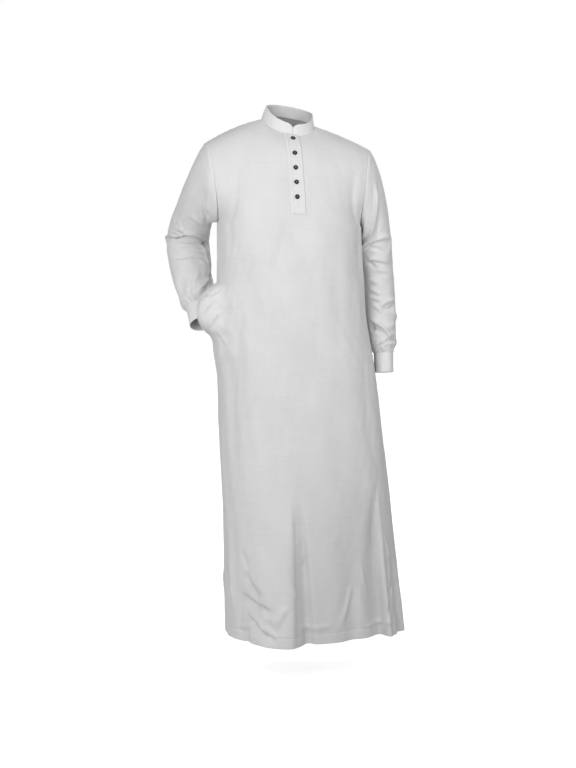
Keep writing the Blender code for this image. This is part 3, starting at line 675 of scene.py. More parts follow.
def new_material(name, colour, roughness, coordinates):
    """Material with its plain colour, its tree, its shader and one kind of coordinates."""
    material = bpy.data.materials.new(name)
    material.use_nodes = True
    material.diffuse_color = (*colour, 1.0)
    tree = material.node_tree
    shader = tree.nodes["Principled BSDF"]
    shader.inputs["Roughness"].default_value = roughness
    return material, tree, shader, node(tree, "ShaderNodeTexCoord").outputs[coordinates]


def add_bump(tree, shader, height, strength, distance):
    """Relief on a shader's surface from a height; the distance is in metres."""
    bump = node(tree, "ShaderNodeBump", Strength=strength, Distance=distance)
    tree.links.new(height, bump.inputs["Height"])
    tree.links.new(bump.outputs["Normal"], shader.inputs["Normal"])


def stretched_noise(tree, place, scale, detail):
    """Noise on the cloth's map, stretched by a scale for each direction."""
    mapping = node(tree, "ShaderNodeMapping", Scale=(*scale, 1.0))
    noise = node(tree, "ShaderNodeTexNoise", Scale=1.0, Detail=detail, Roughness=0.55)
    tree.links.new(place, mapping.inputs["Vector"])
    tree.links.new(mapping.outputs["Vector"], noise.inputs["Vector"])
    return noise.outputs["Fac"]


def combine(tree, operation, first, second):
    """One Math node on two values, each a socket or a number."""
    made = node(tree, "ShaderNodeMath", operation=operation)
    for socket, value in zip(made.inputs, (first, second)):
        if isinstance(value, (int, float)):
            socket.default_value = value
        else:
            tree.links.new(value, socket)
    return made.outputs[0]


def mixed(tree, first, share, second, other_share):
    """Weighted sum of two values."""
    return combine(tree, "ADD", combine(tree, "MULTIPLY", first, share),
                   combine(tree, "MULTIPLY", second, other_share))


def tone_of(tree, factor, dark, light, low=0.0, high=1.0):
    """Colour ramp from dark to light between two values of a factor."""
    ramp = node(tree, "ShaderNodeValToRGB")
    for element, position, colour in zip(ramp.color_ramp.elements, (low, high), (dark, light)):
        element.position = position
        element.color = (*colour, 1.0)
    tree.links.new(factor, ramp.inputs["Fac"])
    return ramp.outputs["Color"]


print("helpers for nodes are ready")

# %% [markdown]
# ## Woven cloth as a material
# The robe is plain-woven cotton and linen: two sets of threads that cross, with slubs where a
# thread is thicker. A picture of cloth would show threads of one size only, so the weave is
# made from nodes. Two bands of waves on the cloth's own map give the threads, a noise stretched
# along each direction gives the slubs, and a slow noise makes the white a little uneven, as
# washed cloth is. The doubled pieces use the same recipe, a little lighter and firmer.


# %% The woven material
def threads(tree, place, pitch, direction):
    """Waves across one direction of the map: one thread for each pitch. A wave texture of
    scale s repeats every pi / (10 s)."""
    wave = node(tree, "ShaderNodeTexWave", wave_type="BANDS", bands_direction=direction,
                Scale=math.pi / 10 / (pitch * MM), Distortion=0.6, Detail=1.0)
    wave.inputs["Detail Scale"].default_value = 0.6
    tree.links.new(place, wave.inputs["Vector"])
    return wave.outputs["Fac"]


def woven(name, light, dark, pitch=0.62, weave=0.25, slub=0.35):
    """Matte plain weave: colour between dark and light from slow noise and slubs, and a bump
    from threads and slubs. The weft threads lie a tenth further apart than the warp."""
    material, tree, shader, place = new_material(name, light, 0.86, "UV")
    long_slubs = stretched_noise(tree, place, (26.0, 700.0), 3.0)
    wide_slubs = stretched_noise(tree, place, (8.0, 230.0), 2.0)
    warp = stretched_noise(tree, place, (900.0, 20.0), 3.0)
    cloud = stretched_noise(tree, place, (11.0, 7.0), 4.0)
    slubs = mixed(tree, mixed(tree, long_slubs, 0.5, wide_slubs, 0.5), 0.62, warp, 0.38)
    tone = mixed(tree, slubs, 0.6, cloud, 0.4)
    tree.links.new(tone_of(tree, tone, dark, light, 0.34, 0.66), shader.inputs["Base Color"])
    cross = combine(tree, "MULTIPLY", threads(tree, place, pitch, "X"),
                    threads(tree, place, pitch * 1.1, "Y"))
    add_bump(tree, shader, mixed(tree, cross, weave, slubs, slub), 0.5, 0.0006)
    shader.inputs["Sheen Weight"].default_value = 0.12
    shader.inputs["Sheen Roughness"].default_value = 0.5
    shader.inputs["Specular IOR Level"].default_value = 0.25
    return material


ROBE_CLOTH = woven("robe cloth", (0.785, 0.785, 0.792), (0.685, 0.685, 0.692))
BAND_CLOTH = woven("doubled cloth", (0.83, 0.83, 0.837), (0.78, 0.78, 0.787), weave=0.2,
                   slub=0.2)
PLACKET_CLOTH = woven("placket cloth", (0.80, 0.80, 0.807), (0.735, 0.735, 0.742), slub=0.25)
POCKET_CLOTH = woven("pocket cloth", (0.76, 0.76, 0.765), (0.72, 0.72, 0.725), pitch=0.8)
print("cloth materials:", ROBE_CLOTH.name, "/", BAND_CLOTH.name, "/", POCKET_CLOTH.name)

# %% [markdown]
# ## Thread and buttons as materials
# Sewing thread is twisted, so along each stitch there is a fine slanting ridge, with painted shade
# darkening the colour in the grooves between the ridges. The buttons are near-black moulded plastic
# that has been handled: the gloss is broken by a fine noise.


# %% Thread and plastic
def thread_material(name, colour):
    """Twisted thread: slanting waves in the bump, and painted shade in the colour that darkens the
    thread in the grooves, where the bump is low.
    """
    material, tree, shader, place = new_material(name, colour, 0.7, "Object")
    wave = node(tree, "ShaderNodeTexWave", wave_type="BANDS", bands_direction="DIAGONAL",
                Scale=900.0, Distortion=1.0)
    tree.links.new(place, wave.inputs["Vector"])
    # painted shade: the thread's colour is darker in the grooves of the twist, where the bump is
    # low
    shade = tone_of(tree, wave.outputs["Fac"], [0.93 * c for c in colour], colour)
    tree.links.new(shade, shader.inputs["Base Color"])
    add_bump(tree, shader, wave.outputs["Fac"], 0.4, 0.0002)
    return material


def plastic_material(name, colour, roughness):
    """Moulded plastic: its gloss varies with a fine noise, with a faint unevenness in the bump."""
    material, tree, shader, place = new_material(name, colour, roughness, "Object")
    noise = node(tree, "ShaderNodeTexNoise", Scale=900.0, Detail=4.0)
    tree.links.new(place, noise.inputs["Vector"])
    gloss = node(tree, "ShaderNodeMapRange")
    gloss.inputs["To Min"].default_value = roughness - 0.08
    gloss.inputs["To Max"].default_value = roughness + 0.12
    tree.links.new(noise.outputs["Fac"], gloss.inputs["Value"])
    tree.links.new(gloss.outputs["Result"], shader.inputs["Roughness"])
    add_bump(tree, shader, noise.outputs["Fac"], 0.15, 0.0001)
    shade = tone_of(tree, noise.outputs["Fac"], colour, [1.6 * c for c in colour])
    tree.links.new(shade, shader.inputs["Base Color"])
    return material


THREAD = thread_material("sewing thread", (0.86, 0.86, 0.865))
BUTTON_THREAD = thread_material("button thread", (0.62, 0.62, 0.64))
BUTTON_PLASTIC = plastic_material("button plastic", (0.010, 0.010, 0.011), 0.34)
print("other materials:", THREAD.name, "/", BUTTON_THREAD.name, "/", BUTTON_PLASTIC.name)

# %% [markdown]
# ## Where the grid lines run
# A grid spends its points where the shape changes fast: close to a seam, in the hem and at the
# creased lower end of the skirt. The front and the back share their rows, so they meet point to
# point at the side seams, and both use the same steps along each shoulder seam.

# %% Rows and columns of the panels
HEM_DEPTH = 27.0           # the turned-up hem
LEVELS = stops((HEM, HEM + 6, 3), (HEM + 6, HEM + HEM_DEPTH - 3, 5),
               (HEM + HEM_DEPTH - 3, HEM + HEM_DEPTH + 3, 4), (HEM + HEM_DEPTH + 3, -1150, 46),
               (-1150, -600, 64), (-600, -430, 34), (-430, CHEST, 22))
YOKE_V = stops((0, 0.95, 38), (0.95, 1, 5))
SHOULDER_T = stops((0, 0.03, 3), (0.03, 0.97, 40), (0.97, 1, 2))
NECK_T = np.linspace(0, 1, 76)
CLOTH = 0.9                # thickness of one layer
TURN_UP = 1.0              # the hem's extra thickness
SEAM_GROOVE = 0.9          # how deep the cloth dips at a seam
FACING = {True: 1.0, False: -1.0}   # which side of its grid is a panel's outside
print("panel rows:", len(LEVELS) + len(YOKE_V) - 1)

# %% [markdown]
# ## The plain form of a panel
# A panel is half of the body below the chest and half of the yoke above it, joined into one
# grid. The back runs the other way round the body, so its outside is the other side of its grid.


# %% The plain form of a panel
def panel_columns(front):
    """Places across a panel, 0 to 1: shoulder, neck, shoulder."""
    share = SHOULDER_SHARE[front]
    return np.concatenate([SHOULDER_T * share, share + (1 - 2 * share) * NECK_T[1:-1],
                           1 - SHOULDER_T[::-1] * share])


def panel_form(front, u, levels, v):
    """Plain surface of a panel before it is creased, from the hem to the top edge, and the
    turn of each column below the chest."""
    turn = (RIGHT + FACING[front] * 180 * u)[None, :]
    lower = skirt(turn, levels[:, None], 1.0 if front else 0.0)
    return np.concatenate([lower, yoke(u[None, :], v[:, None], front)[1:]], axis=0), turn


def seam_dip(distance, along, pucker=0.35):
    """A groove at a seam and the small ripples that sewing draws up beside it."""
    groove = -SEAM_GROOVE * bell(distance / 2.0)
    wobble = np.sin(along / 5.1) + 0.6 * np.sin(along / 2.9 + 1.3)
    return groove + pucker * wobble * bell(distance / 8.0) * (1 - bell(distance / 2.0))


print("panel columns:", len(panel_columns(True)), "in front,", len(panel_columns(False)), "behind")

# %% [markdown]
# ## Folds and creases of the front
# The lower front has the strongest relief. One leg is forward on the wearer's right, so the
# cloth falls from the knee in a wide flat face, with a trough beside it near the middle. Short
# breaks run to the hem from the outer side. Below the placket and at the chest the cloth only
# drags a little. Levels are heights above the neck seam, so all of them are below 0.

# %% Folds of the front
FRONT_FOLDS = (
    (-70, 2, 4, -6, -1040, -1300, 1),
    (-57, 1, 3.5, -6, -1240, -1400, 0),
    (-19, 2, 5, 8, -1030, -1408, 0),
    (-4, -1, 2.6, 6, -1080, -1408, 0),
    (8, -1, 7, 5, -1080, -1408, 0),
    (28, 1, 7, 10, -1040, -1408, 0),
    (43, 0, 5, -14, -1000, -1408, 0),
    (50, -1, 3, 4, -960, -1408, 0),
    (56, -1, 2.8, -5, -1020, -1408, 0),
    (62, -1, 2.6, 4, -1100, -1408, 0),
    (68, 0, 3, -7, -1060, -1408, 0),
    (76, 0, 3, 6, -1120, -1408, 0),
)
print("long folds in front:", len(FRONT_FOLDS))

# %% Creases of the front
FRONT_CREASES = (
    (-58, -1250, -46, -1235, 3, 12, 3.5, 0.0),
    (-66, -1366, -46, -1350, 2, 6, 3.0, 2.4),
    (-52, -1210, -36, -1262, 4, 14, 3.0, 0.0),
    (-44, -1290, -34, -1330, 2, 9, 4.0, 2.0),
    (-40, -1345, -30, -1400, 2, 8, 3.6, 2.0),
    (-74, -1200, -70, -1330, 3, 7, 3.4, 2.4),
    (-14, -1072, -11.5, -1106, 1, 5, -3.0, 2.4),
    (-16, -1128, -9, -1124, 1, 6, 2.0, 1.4),
    (-6, -1166, -8.6, -1200, 1, 5, -3.0, -2.0),
    (-20, -1210, -12, -1290, 3, 6, 3.0, 2.4),
    (-21, -1300, -25, -1345, 2, 8, 4.0, 2.6),
    (-14, -1356, 3, -1358, 3, 7, 3.2, 1.0),
    (18.4, -1259, 7.5, -1353, -4, 9, 3.0, -1.6),
    (12, -1120, 16, -1180, 2, 12, -2.2, 0.0),
    (65.4, -1255, 50, -1363, 6, 5.5, -3.0, -2.6),
    (73, -1270, 58, -1380, 4, 5.5, -2.8, -2.4),
    (60, -1200, 54, -1290, 3, 5.5, -2.4, -2.0),
    (32, -1373, 52, -1363, 3, 6, 3.0, 2.0),
    (57, -1130, 64, -1190, 2, 6, 2.2, 1.6),
    (66, -1180, 72, -1250, 2, 6, -2.2, -1.6),
    (30, -1200, 38, -1290, 3, 7, 2.6, 2.0),
    (43.4, -1005, 44.4, -1190, 0, 4, -3.0, -2.0),
    (-77.5, -462, -84.5, -497, 2, 4.5, 5.0, 4.2),
    (-72.5, -482, -81, -522, 3, 4.5, -4.6, 3.4),
    (-73, -450, -80, -472, 1, 4, -4.2, 3.2),
    (-69, -508, -79, -548, 3, 6, 4.2, -3.6),
    (-64, -500, -70, -538, 2, 8, -2.2, 0.0),
    (-74, -560, -64, -600, 3, 7, 2.4, -1.8),
    (-72, -520, -60, -566, 6, 14, 1.8, 0.0),
    (-84, -604, -60, -566, -6, 14, -2.0, 0.0),
    (-80, -640, -50, -620, -8, 16, 2.4, 0.0),
    (-4, -255, 12, -440, 5, 13, -2.4, -1.0),
    (-9, -262, -16, -400, -4, 14, -2.0, 0.6),
    (5, -262, 34, -400, 8, 15, 2.0, 0.0),
    (-34, -330, -20, -520, 6, 20, 2.2, 0.0),
    (26, -420, 20, -640, -6, 22, -2.2, 0.0),
    (-40, -520, -38, -900, 0, 22, 4.0, 0.0),
    (-58, -640, -64, -960, 0, 20, -4.0, 0.0),
    (50, -600, 44, -900, 6, 20, -3.0, 0.0),
    (2, -700, 6, -1000, 4, 24, 2.0, 0.0),
    (-24, -760, -20, -1020, 4, 20, -2.0, 0.0),
)
print("creases in front:", len(FRONT_CREASES))

# %% Breaks of the front
FRONT_BREAKS = (
    (-8, -1040, -8.2, -1520, 0, 12, 5, -13),
    (-14.4, -1040, -20.5, -1480, 0, 20, 6, 8),
    (46.5, -1040, 46.5, -1520, 0, 30, 7, -26),
    (-31, -1311, -59, -1283, -3, 8, 24, -17),
    (-29, -1388, -54, -1337, -3, 7, 18, -14),
    (-26, -1370, -35, -1340, -2, 13, 5, -6),
    (-39, -1280, -55, -1222, -2, 16, 16, -8),
    (-51, -1201, -58, -1160, -2, 12, 6, -4),
    (-62, -1290, -65, -1400, 0, 10, 6, -3),
    (76, -130, 57, -420, 0, 24, 12, -4.5),
    (-66, -110, -60, -330, 0, 20, 11, -4),
    (-64, -452, -80, -496, 2, 9, 5, -2.6),
    (-70, -450, -84, -478, 2, 6, 4, -2.4),
    (-56, -500, -74, -556, 4, 18, 9, -2.2),
)
print("breaks in front:", len(FRONT_BREAKS))

# %% [markdown]
# ## Folds and creases of the back
# Nobody sees the back from the front, but a garment is looked at from all sides. Behind, the
# cloth hangs from the shoulder blades: a hollow runs down the spine, small drags point to the
# underarms, the seat holds the cloth out and long soft folds fall from it to the hem.

# %% Folds of the back
BACK_FOLDS = (
    (-118, 2, 4, -8.5, -1050, -1408, 0),
    (-128, 1, 3.5, 8.5, -1120, -1408, 0),
    (-146, -2, 4, -10.2, -1000, -1408, 0),
    (-157, 1, 4, 8.5, -1080, -1408, 0),
    (-174, 1, 4, -11.9, -1100, -1408, 0),
    (176, -1, 4, 8.5, -1060, -1408, 0),
    (158, -2, 4.5, -10.2, -980, -1408, 0),
    (147, 1, 3.5, 8.5, -1140, -1408, 0),
    (127, 2, 4, -8.5, -1040, -1408, 0),
    (103, 1, 3.5, 6.8, -1120, -1408, 0),
)
print("long folds behind:", len(BACK_FOLDS))

# %% Creases and breaks of the back
BACK_CREASES = (
    (180, -120, 180, -420, 0, 26, -8, 0),
    (-150, -170, -172, -240, 8, 13, -4, 1.6),
    (150, -170, 172, -250, -8, 13, -4, -1.6),
    (-112, -200, -135, -300, -6, 10, 4.8, 2.4),
    (-108, -235, -128, -350, -6, 9, -4, -2.4),
    (112, -210, 134, -310, 6, 10, 4.8, -2.4),
    (108, -250, 128, -370, 6, 9, -4, 2.4),
    (-120, -330, -152, -404, -6, 15, 2.4, 0),
    (126, -366, 166, -452, 6, 16, 2.0, 0),
    (-136, -446, -178, -470, 8, 13, -2.2, -1.2),
    (-150, -498, 168, -508, -6, 14, 1.8, 1.0),
    (-112, -540, -150, -560, 5, 15, -2.0, 0),
    (-135, -640, -130, -960, 6, 22, -4.8, 0),
    (150, -620, 146, -930, -6, 22, 4.8, 0),
    (-165, -700, -168, -1060, 4, 20, 4, 0),
    (122, -660, 118, -1000, 0, 20, -4.8, 0),
    (-150, -1250, -132, -1345, 5, 7, -3.8, -3.2),
    (-168, -1300, -156, -1380, 4, 6, -3.2, -2.9),
    (165, -1230, 150, -1340, -5, 7, -3.8, 3.2),
    (140, -1290, 127, -1376, -4, 6, -3.2, 2.9),
    (112, -1210, 106, -1330, 4, 6, 3.2, 2.2),
    (-104, -1240, -112, -1350, 4, 6, 3.2, 2.2),
    (178, -1360, 160, -1366, 3, 5, 2.9, 2.2),
)
BACK_BREAKS = (
    (-158, -1060, -157, -1520, 0, 28, 8, -12),
    (139, -1080, 141, -1520, 0, 30, 8, -12),
    (174, -1120, 172, -1520, 0, 24, 8, -9),
    (-114, -1180, -112, -1520, 0, 18, 7, -7),
    (-116, -1310, -138, -1262, 3, 22, 6, -7),
    (150, -1352, 130, -1320, 3, 18, 5, -6),
    (-100, -250, -126, -292, 3, 16, 9, -2.6),
    (130, -318, 106, -262, 3, 14, 8, -2.2),
)
print("behind: %d creases, %d breaks" % (len(BACK_CREASES), len(BACK_BREAKS)))

# %% [markdown]
# ## Front and back
# Each panel is one piece of cloth from the shoulder to the hem, so it is one grid. Its plain form
# comes first, then everything above is added along the normal: folds, creases, breaks, a slow
# unevenness, the dips at the seams and the puckers that a line of stitches draws up at the hem.
# The hem is turned up, so the inner face stands further in there.

# %% Lifts of a panel
PANEL_TABLES = {
    True: {"folds": FRONT_FOLDS, "creases": FRONT_CREASES, "breaks": FRONT_BREAKS, "seed": 11},
    False: {"folds": BACK_FOLDS, "creases": BACK_CREASES, "breaks": BACK_BREAKS, "seed": 23},
}


def panel_creases(front, turn, level, per_degree):
    """Lift of everything in a panel's tables, and of two seeded ripples that are calmer over
    the shoulders, where the cloth is stretched."""
    tables = PANEL_TABLES[front]
    lower = np.concatenate([LEVELS, np.full(len(YOKE_V) - 1, CHEST)])[:, None]
    lift = folds(tables["folds"], turn, lower)
    lift = lift + creases(tables["creases"], turn, level, per_degree)
    lift = lift + breaks(tables["breaks"], turn, level, per_degree)
    calm = 1 - 0.75 * ease((level + 360.0) / 120.0)
    lift = lift + calm * ripple(turn, level, per_degree, 75.0, 420.0, 0.9, tables["seed"])
    return lift + calm * ripple(turn, level, per_degree, 34.0, 95.0, 0.28, tables["seed"] + 1)


def hem_lift(above, width, side):
    """A groove and puckers at the hem's stitches, and a slow wave along the lower edge."""
    pucker = np.sin(width / 4.3) + 0.7 * np.sin(width / 7.1 + 2.0)
    edge = np.sin(width / 33.0 + 1.0) + 0.6 * np.sin(width / 14.0)
    return (-0.9 * bell((above - HEM_DEPTH) / 2.2)
            + 0.55 * pucker * bell((above - HEM_DEPTH) / 11.0)
            + 0.7 * edge * bell(above / 18.0) * ease(side / 30.0))


print("ripple seeds:", [tables["seed"] for tables in PANEL_TABLES.values()])


# %% The two panels
def dressed_panel(front):
    """Outer grid of a panel: its plain form moved out by its creases, which fade at the side
    seams and the top edge, by the seams and by the hem."""
    base, turn = panel_form(front, panel_columns(front), LEVELS, YOKE_V)
    level = base[..., 2]
    width = lengths(base, 1)
    side = np.minimum(width, width[:, -1:] - width)
    top = lengths(base[::-1], 0)[::-1]
    lift = panel_creases(front, turn, level, (width[:, -1] / 180.0)[:, None])
    lift = lift * ease(side / 22.0) * ease(top / 16.0)
    lift = lift + seam_dip(side, level) + seam_dip(top, width)
    lift = lift + hem_lift(level - base[0, :, 2], width, side)
    return base + lift[..., None] * normals_of(base, False, FACING[front])


def panel_inner(outer, normal):
    """Inner face: one layer of cloth in, and the turned-up hem inside the lower edge."""
    above = outer[..., 2] - outer[0, :, 2]
    layers = CLOTH + TURN_UP * (1 - ease((above - HEM_DEPTH + 2) / 3.0))
    return outer - layers[..., None] * normal


PANELS = {front: dressed_panel(front) for front in FACING}
PANEL_OUT = {front: normals_of(PANELS[front], False, FACING[front]) for front in FACING}
for front, name in ((True, "front"), (False, "back")):
    piece = shell("robe_" + name, PANELS[front], panel_inner(PANELS[front], PANEL_OUT[front]),
                  False, ROBE_CLOTH, round_bottom=3, sign=FACING[front])
    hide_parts(name)
    print(name, "area %.3f m2" % area_of(PANELS[front]), "triangles",
          sum(len(p.vertices) - 2 for p in piece.data.polygons))

# %% [markdown]
# ## Creases of the sleeves
# A sleeve breaks where the arm bends. On the bent arm the upper sleeve sags over the elbow and
# overlaps the cloth below it, with a dark hollow at the inner side, and long drags run from the
# elbow to the cuff. The hanging sleeve has one long ridge from the shoulder to the inner elbow
# and short breaks across it that crowd towards the cuff. Here turn is the place round the
# sleeve (0 outwards, 90 in front) and level is minus the distance from the armhole.

# %% Creases of the bent sleeve
BENT_CREASES = (
    (26, -246, 88, -207, -3, 5.0, 1.0, -6.5),
    (80, -212, 102, -168, 3, 5.0, 1.5, -5.5),
    (94, -172, 128, -158, -3, 5.0, 1.5, -5.0),
    (120, -158, 158, -194, -3, 5.5, 1.5, -6.0),
    (150, -186, 178, -226, 2, 6.0, 2.0, -5.0),
    (168, -220, 192, -270, 2, 12.0, -24.0, 0.0),
    (160, -106, 172, -180, 0, 18.0, 4.0, 0.0),
    (60, -206, 92, -184, -2, 5.0, 2.4, -2.4),
    (68, -138, 90, -160, 4, 6.0, 3.6, 2.4),
    (92, -112, 142, -116, -4, 8.0, 3.2, -2.0),
    (60, -178, 112, -150, -5, 9.0, 3.0, 1.6),
    (20, -150, 60, -170, 3, 12.0, 2.4, 0.0),
    (96, -30, 128, -72, 2, 7.0, -6.0, -2.6),
    (122, -50, 144, -100, 3, 9.0, -5.0, 2.0),
    (64, -60, 78, -130, 3, 16.0, 2.6, 0.0),
    (184, -284, 198, -346, 2, 7.0, -18.0, 0.0),
    (168, -268, 178, -340, 2, 8.0, 4.0, 0.0),
    (196, -354, 180, -402, 2, 6.0, -15.0, 0.0),
    (104, -252, 150, -276, -5, 8.0, 3.4, 2.4),
    (100, -290, 160, -296, -4, 8.0, 3.2, 2.2),
    (66, -262, 110, -310, 5, 16.0, -3.4, 0.0),
    (70, -300, 130, -334, 4, 11.0, 3.8, 2.4),
    (104, -330, 160, -344, -6, 10.0, 3.8, -2.4),
    (169, -384, 124, -436, -5, 6.0, 4.6, 3.6),
    (166, -416, 128, -452, -4, 6.0, -3.6, -2.0),
    (176, -366, 146, -400, -4, 7.0, -3.6, -2.0),
    (140, -372, 96, -420, -4, 8.0, 4.0, 2.6),
    (120, -392, 92, -446, 4, 7.0, -3.0, -2.0),
    (84, -372, 60, -426, 5, 14.0, -3.0, 1.0),
    (60, -340, 46, -430, 4, 14.0, 3.4, 0.0),
    (76, -434, 92, -462, 2, 5.0, -2.4, -1.8),
    (100, -440, 108, -464, 1, 4.5, 3.0, 2.0),
    (250, -180, 320, -230, 6, 9.0, 4.5, 3.0),
    (240, -250, 330, -262, -5, 8.0, -4.5, -3.0),
    (260, -320, 340, -300, 5, 10.0, 3.6, 2.4),
    (300, -380, 350, -430, 4, 8.0, 3.6, 2.4),
    (210, -330, 250, -420, 4, 10.0, -4.0, 0.0),
    (330, -100, 300, -200, 6, 16.0, 2.6, 0.0),
)
print("creases of the bent sleeve:", len(BENT_CREASES))

# %% Creases of the hanging sleeve
HANGING_CREASES = (
    (70, -36, 118, -110, -3, 8.0, 6.5, 4.0),
    (114, -104, 166, -180, -3, 7.0, 6.5, 5.0),
    (50, -46, 96, -120, -3, 10.0, -4.0, 0.0),
    (96, -110, 150, -176, -3, 8.0, -4.6, -2.6),
    (138, -153, 42, -161, 7, 7.0, 4.4, 3.4),
    (140, -172, 78, -190, 5, 6.0, -3.6, -2.4),
    (144, -206, 66, -219, 6, 6.5, 4.4, 3.4),
    (150, -196, 110, -232, -4, 5.0, -4.4, -2.6),
    (118, -238, 60, -250, 3, 7.0, 3.2, 2.2),
    (30, -150, 64, -190, 4, 10.0, 3.2, 0.0),
    (40, -240, 84, -262, 4, 12.0, 2.6, 0.0),
    (150, -262, 112, -276, 2, 7.0, 3.4, 2.4),
    (148, -290, 104, -312, 3, 6.5, 4.0, 3.0),
    (152, -316, 104, -330, 3, 6.0, 4.0, 3.2),
    (106, -346, 34, -328, 6, 7.0, 4.6, 3.4),
    (100, -356, 40, -342, -5, 6.0, -4.0, -3.0),
    (138, -340, 102, -362, 3, 6.0, 3.6, 2.6),
    (60, -362, 16, -384, 3, 9.0, 3.0, 1.8),
    (148, -376, 76, -433, 4, 6.5, 7.0, 5.6),
    (154, -396, 116, -420, 2, 6.5, -5.0, -2.0),
    (151, -386, 147, -408, 0, 5.0, -15.0, -8.0),
    (92, -404, 40, -396, -4, 9.0, 3.2, 2.0),
    (136, -450, 100, -446, 3, 5.0, 3.6, 2.4),
    (104, -449, 30, -445, 4, 5.0, -4.6, -4.0),
    (96, -434, 34, -428, 4, 6.0, 3.6, 2.0),
    (129, -28, 148, -120, 0, 15.0, 10.0, 0.0),
    (156, -60, 162, -150, 0, 12.0, 5.0, 0.0),
    (150, -124, 158, -232, 0, 20.0, 6.0, 0.0),
    (44, -452, 4, -470, 2, 8.0, -10.0, -3.0),
    (70, -456, 50, -474, 1, 4.5, -3.0, -2.0),
    (120, -456, 110, -474, 1, 4.5, 3.0, 2.0),
    (250, -60, 220, -180, 4, 10.0, 4.6, 2.4),
    (190, -190, 270, -206, 6, 8.0, 4.0, 3.0),
    (200, -250, 290, -240, -5, 8.0, -4.0, -2.6),
    (200, -320, 300, -336, 6, 8.0, 4.0, 3.0),
    (210, -390, 320, -372, -6, 8.0, 4.0, -3.0),
    (200, -430, 300, -446, 5, 6.0, -4.0, -3.0),
    (330, -110, 350, -300, 4, 18.0, 2.6, 0.0),
)
print("creases of the hanging sleeve:", len(HANGING_CREASES))

# %% Rows, rings and seams of the sleeves
SLEEVE_CREASES = {"right": BENT_CREASES, "left": HANGING_CREASES}
HEAD_STEPS = stops((0, 0.03, 3), (0.03, 1, 52))
RING = np.linspace(0, 360, 129)[:-1]
ALONG = {"right": stops((0, 5.8, 92), (5.8, 6, 5)), "left": stops((0, 4.85, 92), (4.85, 5, 5))}
UNDERARM = 180.0           # the seam that closes a sleeve runs along its underside
BLOUSE = 4.5               # how far the sleeve puffs out before the cuff takes it in
SEAM_ROLL = 1.4            # the seam allowance pressed to the sleeve side lifts its edge
RIPPLE_SEED = {"left": 31, "right": 32}
print("rows of the grids:", {k: len(v) + len(HEAD_STEPS) - 1 for k, v in ALONG.items()})


# %% [markdown]
# ## The sleeves themselves
# A sleeve is a tube: a curved part that leaves the armhole and rings that follow the arm. The
# creases are added as on the panels. Close to the cuff the sleeve puffs out a little, and small
# gathers show where its wider end was taken into the band.

# %% Lifts near the ends and the seams of a sleeve
def cuff_gathers(turn, left_over):
    """Lift close to the cuff: gathers round the tube, and a puff of the whole sleeve. Left over
    is the distance to the cuff."""
    gathers = np.sin(np.radians(turn) * 17 + 1.0) + 0.7 * np.sin(np.radians(turn) * 11)
    puff = BLOUSE * bell((left_over - 24.0) / 15.0)
    return 0.45 * gathers * bell((left_over - 8.0) / 13.0) + puff


def sleeve_seams(turn, far, left_over, per_degree):
    """Lift at the seams: grooves along the underarm, the armhole and the cuff, and an edge that
    the pressed seam allowance raises over the shoulder. Far is the distance to the armhole."""
    underarm = seam_dip(np.abs(apart(turn, UNDERARM)) * per_degree, far) * ease(far / 10.0)
    shoulder = ease((np.cos(np.radians(turn - 8)) - 0.45) / 0.4)
    roll = SEAM_ROLL * bell((far - 4.0) / 2.4) * shoulder
    ends = seam_dip(far, turn * per_degree[0]) + seam_dip(left_over, turn * per_degree[-1])
    return underarm + roll + ends


print("puff before the cuff: %.1f mm" % BLOUSE)


# %% The two sleeves
def dressed_sleeve(name):
    """Outer grid of a sleeve: its plain form moved out by its creases, which fade at both ends,
    and by its seams."""
    base = sleeve_form(SIDES[name], ARMS[name], HEAD_STEPS, ALONG[name], RING)
    turn = RING[None, :]
    far = lengths(base, 0).mean(axis=1, keepdims=True)
    left_over = far[-1] - far
    per_degree = lengths(joined(base), 1)[:, -1:] / 360.0
    lift = creases(SLEEVE_CREASES[name], turn, -far, per_degree)
    lift = lift + ripple(turn, -far, per_degree, 60.0, 70.0, 0.5, RIPPLE_SEED[name])
    lift = lift + cuff_gathers(turn, left_over)
    lift = lift * ease(far / 20.0) * ease(left_over / 9.0)
    lift = lift + sleeve_seams(turn, far, left_over, per_degree)
    return base + lift[..., None] * normals_of(base, True, SIDES[name]["sign"])


SLEEVES = {}
for name, side in SIDES.items():
    SLEEVES[name] = dressed_sleeve(name)
    inner = SLEEVES[name] - CLOTH * normals_of(SLEEVES[name], True, side["sign"])
    piece = shell("robe_sleeve_" + name, SLEEVES[name], inner, True, ROBE_CLOTH,
                  sign=side["sign"])
    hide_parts("sleeve_" + name)
    print("sleeve", name, "area %.3f m2" % area_of(SLEEVES[name], True))

# %% [markdown]
# ## Cuffs
# A cuff is a doubled band, so it is thicker and stiffer than the sleeve: it keeps a clean edge
# and shows only faint dents. Its upper edge laps over the end of the sleeve, and its lower edge
# is a fold, so that edge is rounded.

# %% The two cuffs
BAND = 2.2                 # thickness of a doubled band
CUFF_T = stops((0, 0.08, 3), (0.08, 0.92, 14), (0.92, 1, 3))
CUFF_LINES = (0.13, 0.90)  # lines of stitching, as shares of the cuff's height
CUFFS = {}


def cuff_form(name):
    """Band on the last stretch of the sleeve's table, with a small step where it laps over."""
    side = SIDES[name]
    table = ARMS[name]
    last = len(table["x"]) - 1
    grid = arm_ring(side, table, last - 1 + CUFF_T, RING - side["twist"])
    normal = normals_of(grid, True, side["sign"])
    t = CUFF_T[:, None]
    dents = np.sin(np.radians(RING)[None, :] * 5 + 1.0 + 2 * t) * 0.5 * np.sin(np.pi * t)
    step = 0.7 * ease(t / 0.06)
    stitch_dip = -0.35 * sum(bell((t - line) / 0.035) for line in CUFF_LINES)
    return grid + (dents + step + stitch_dip)[..., None] * normal, normal


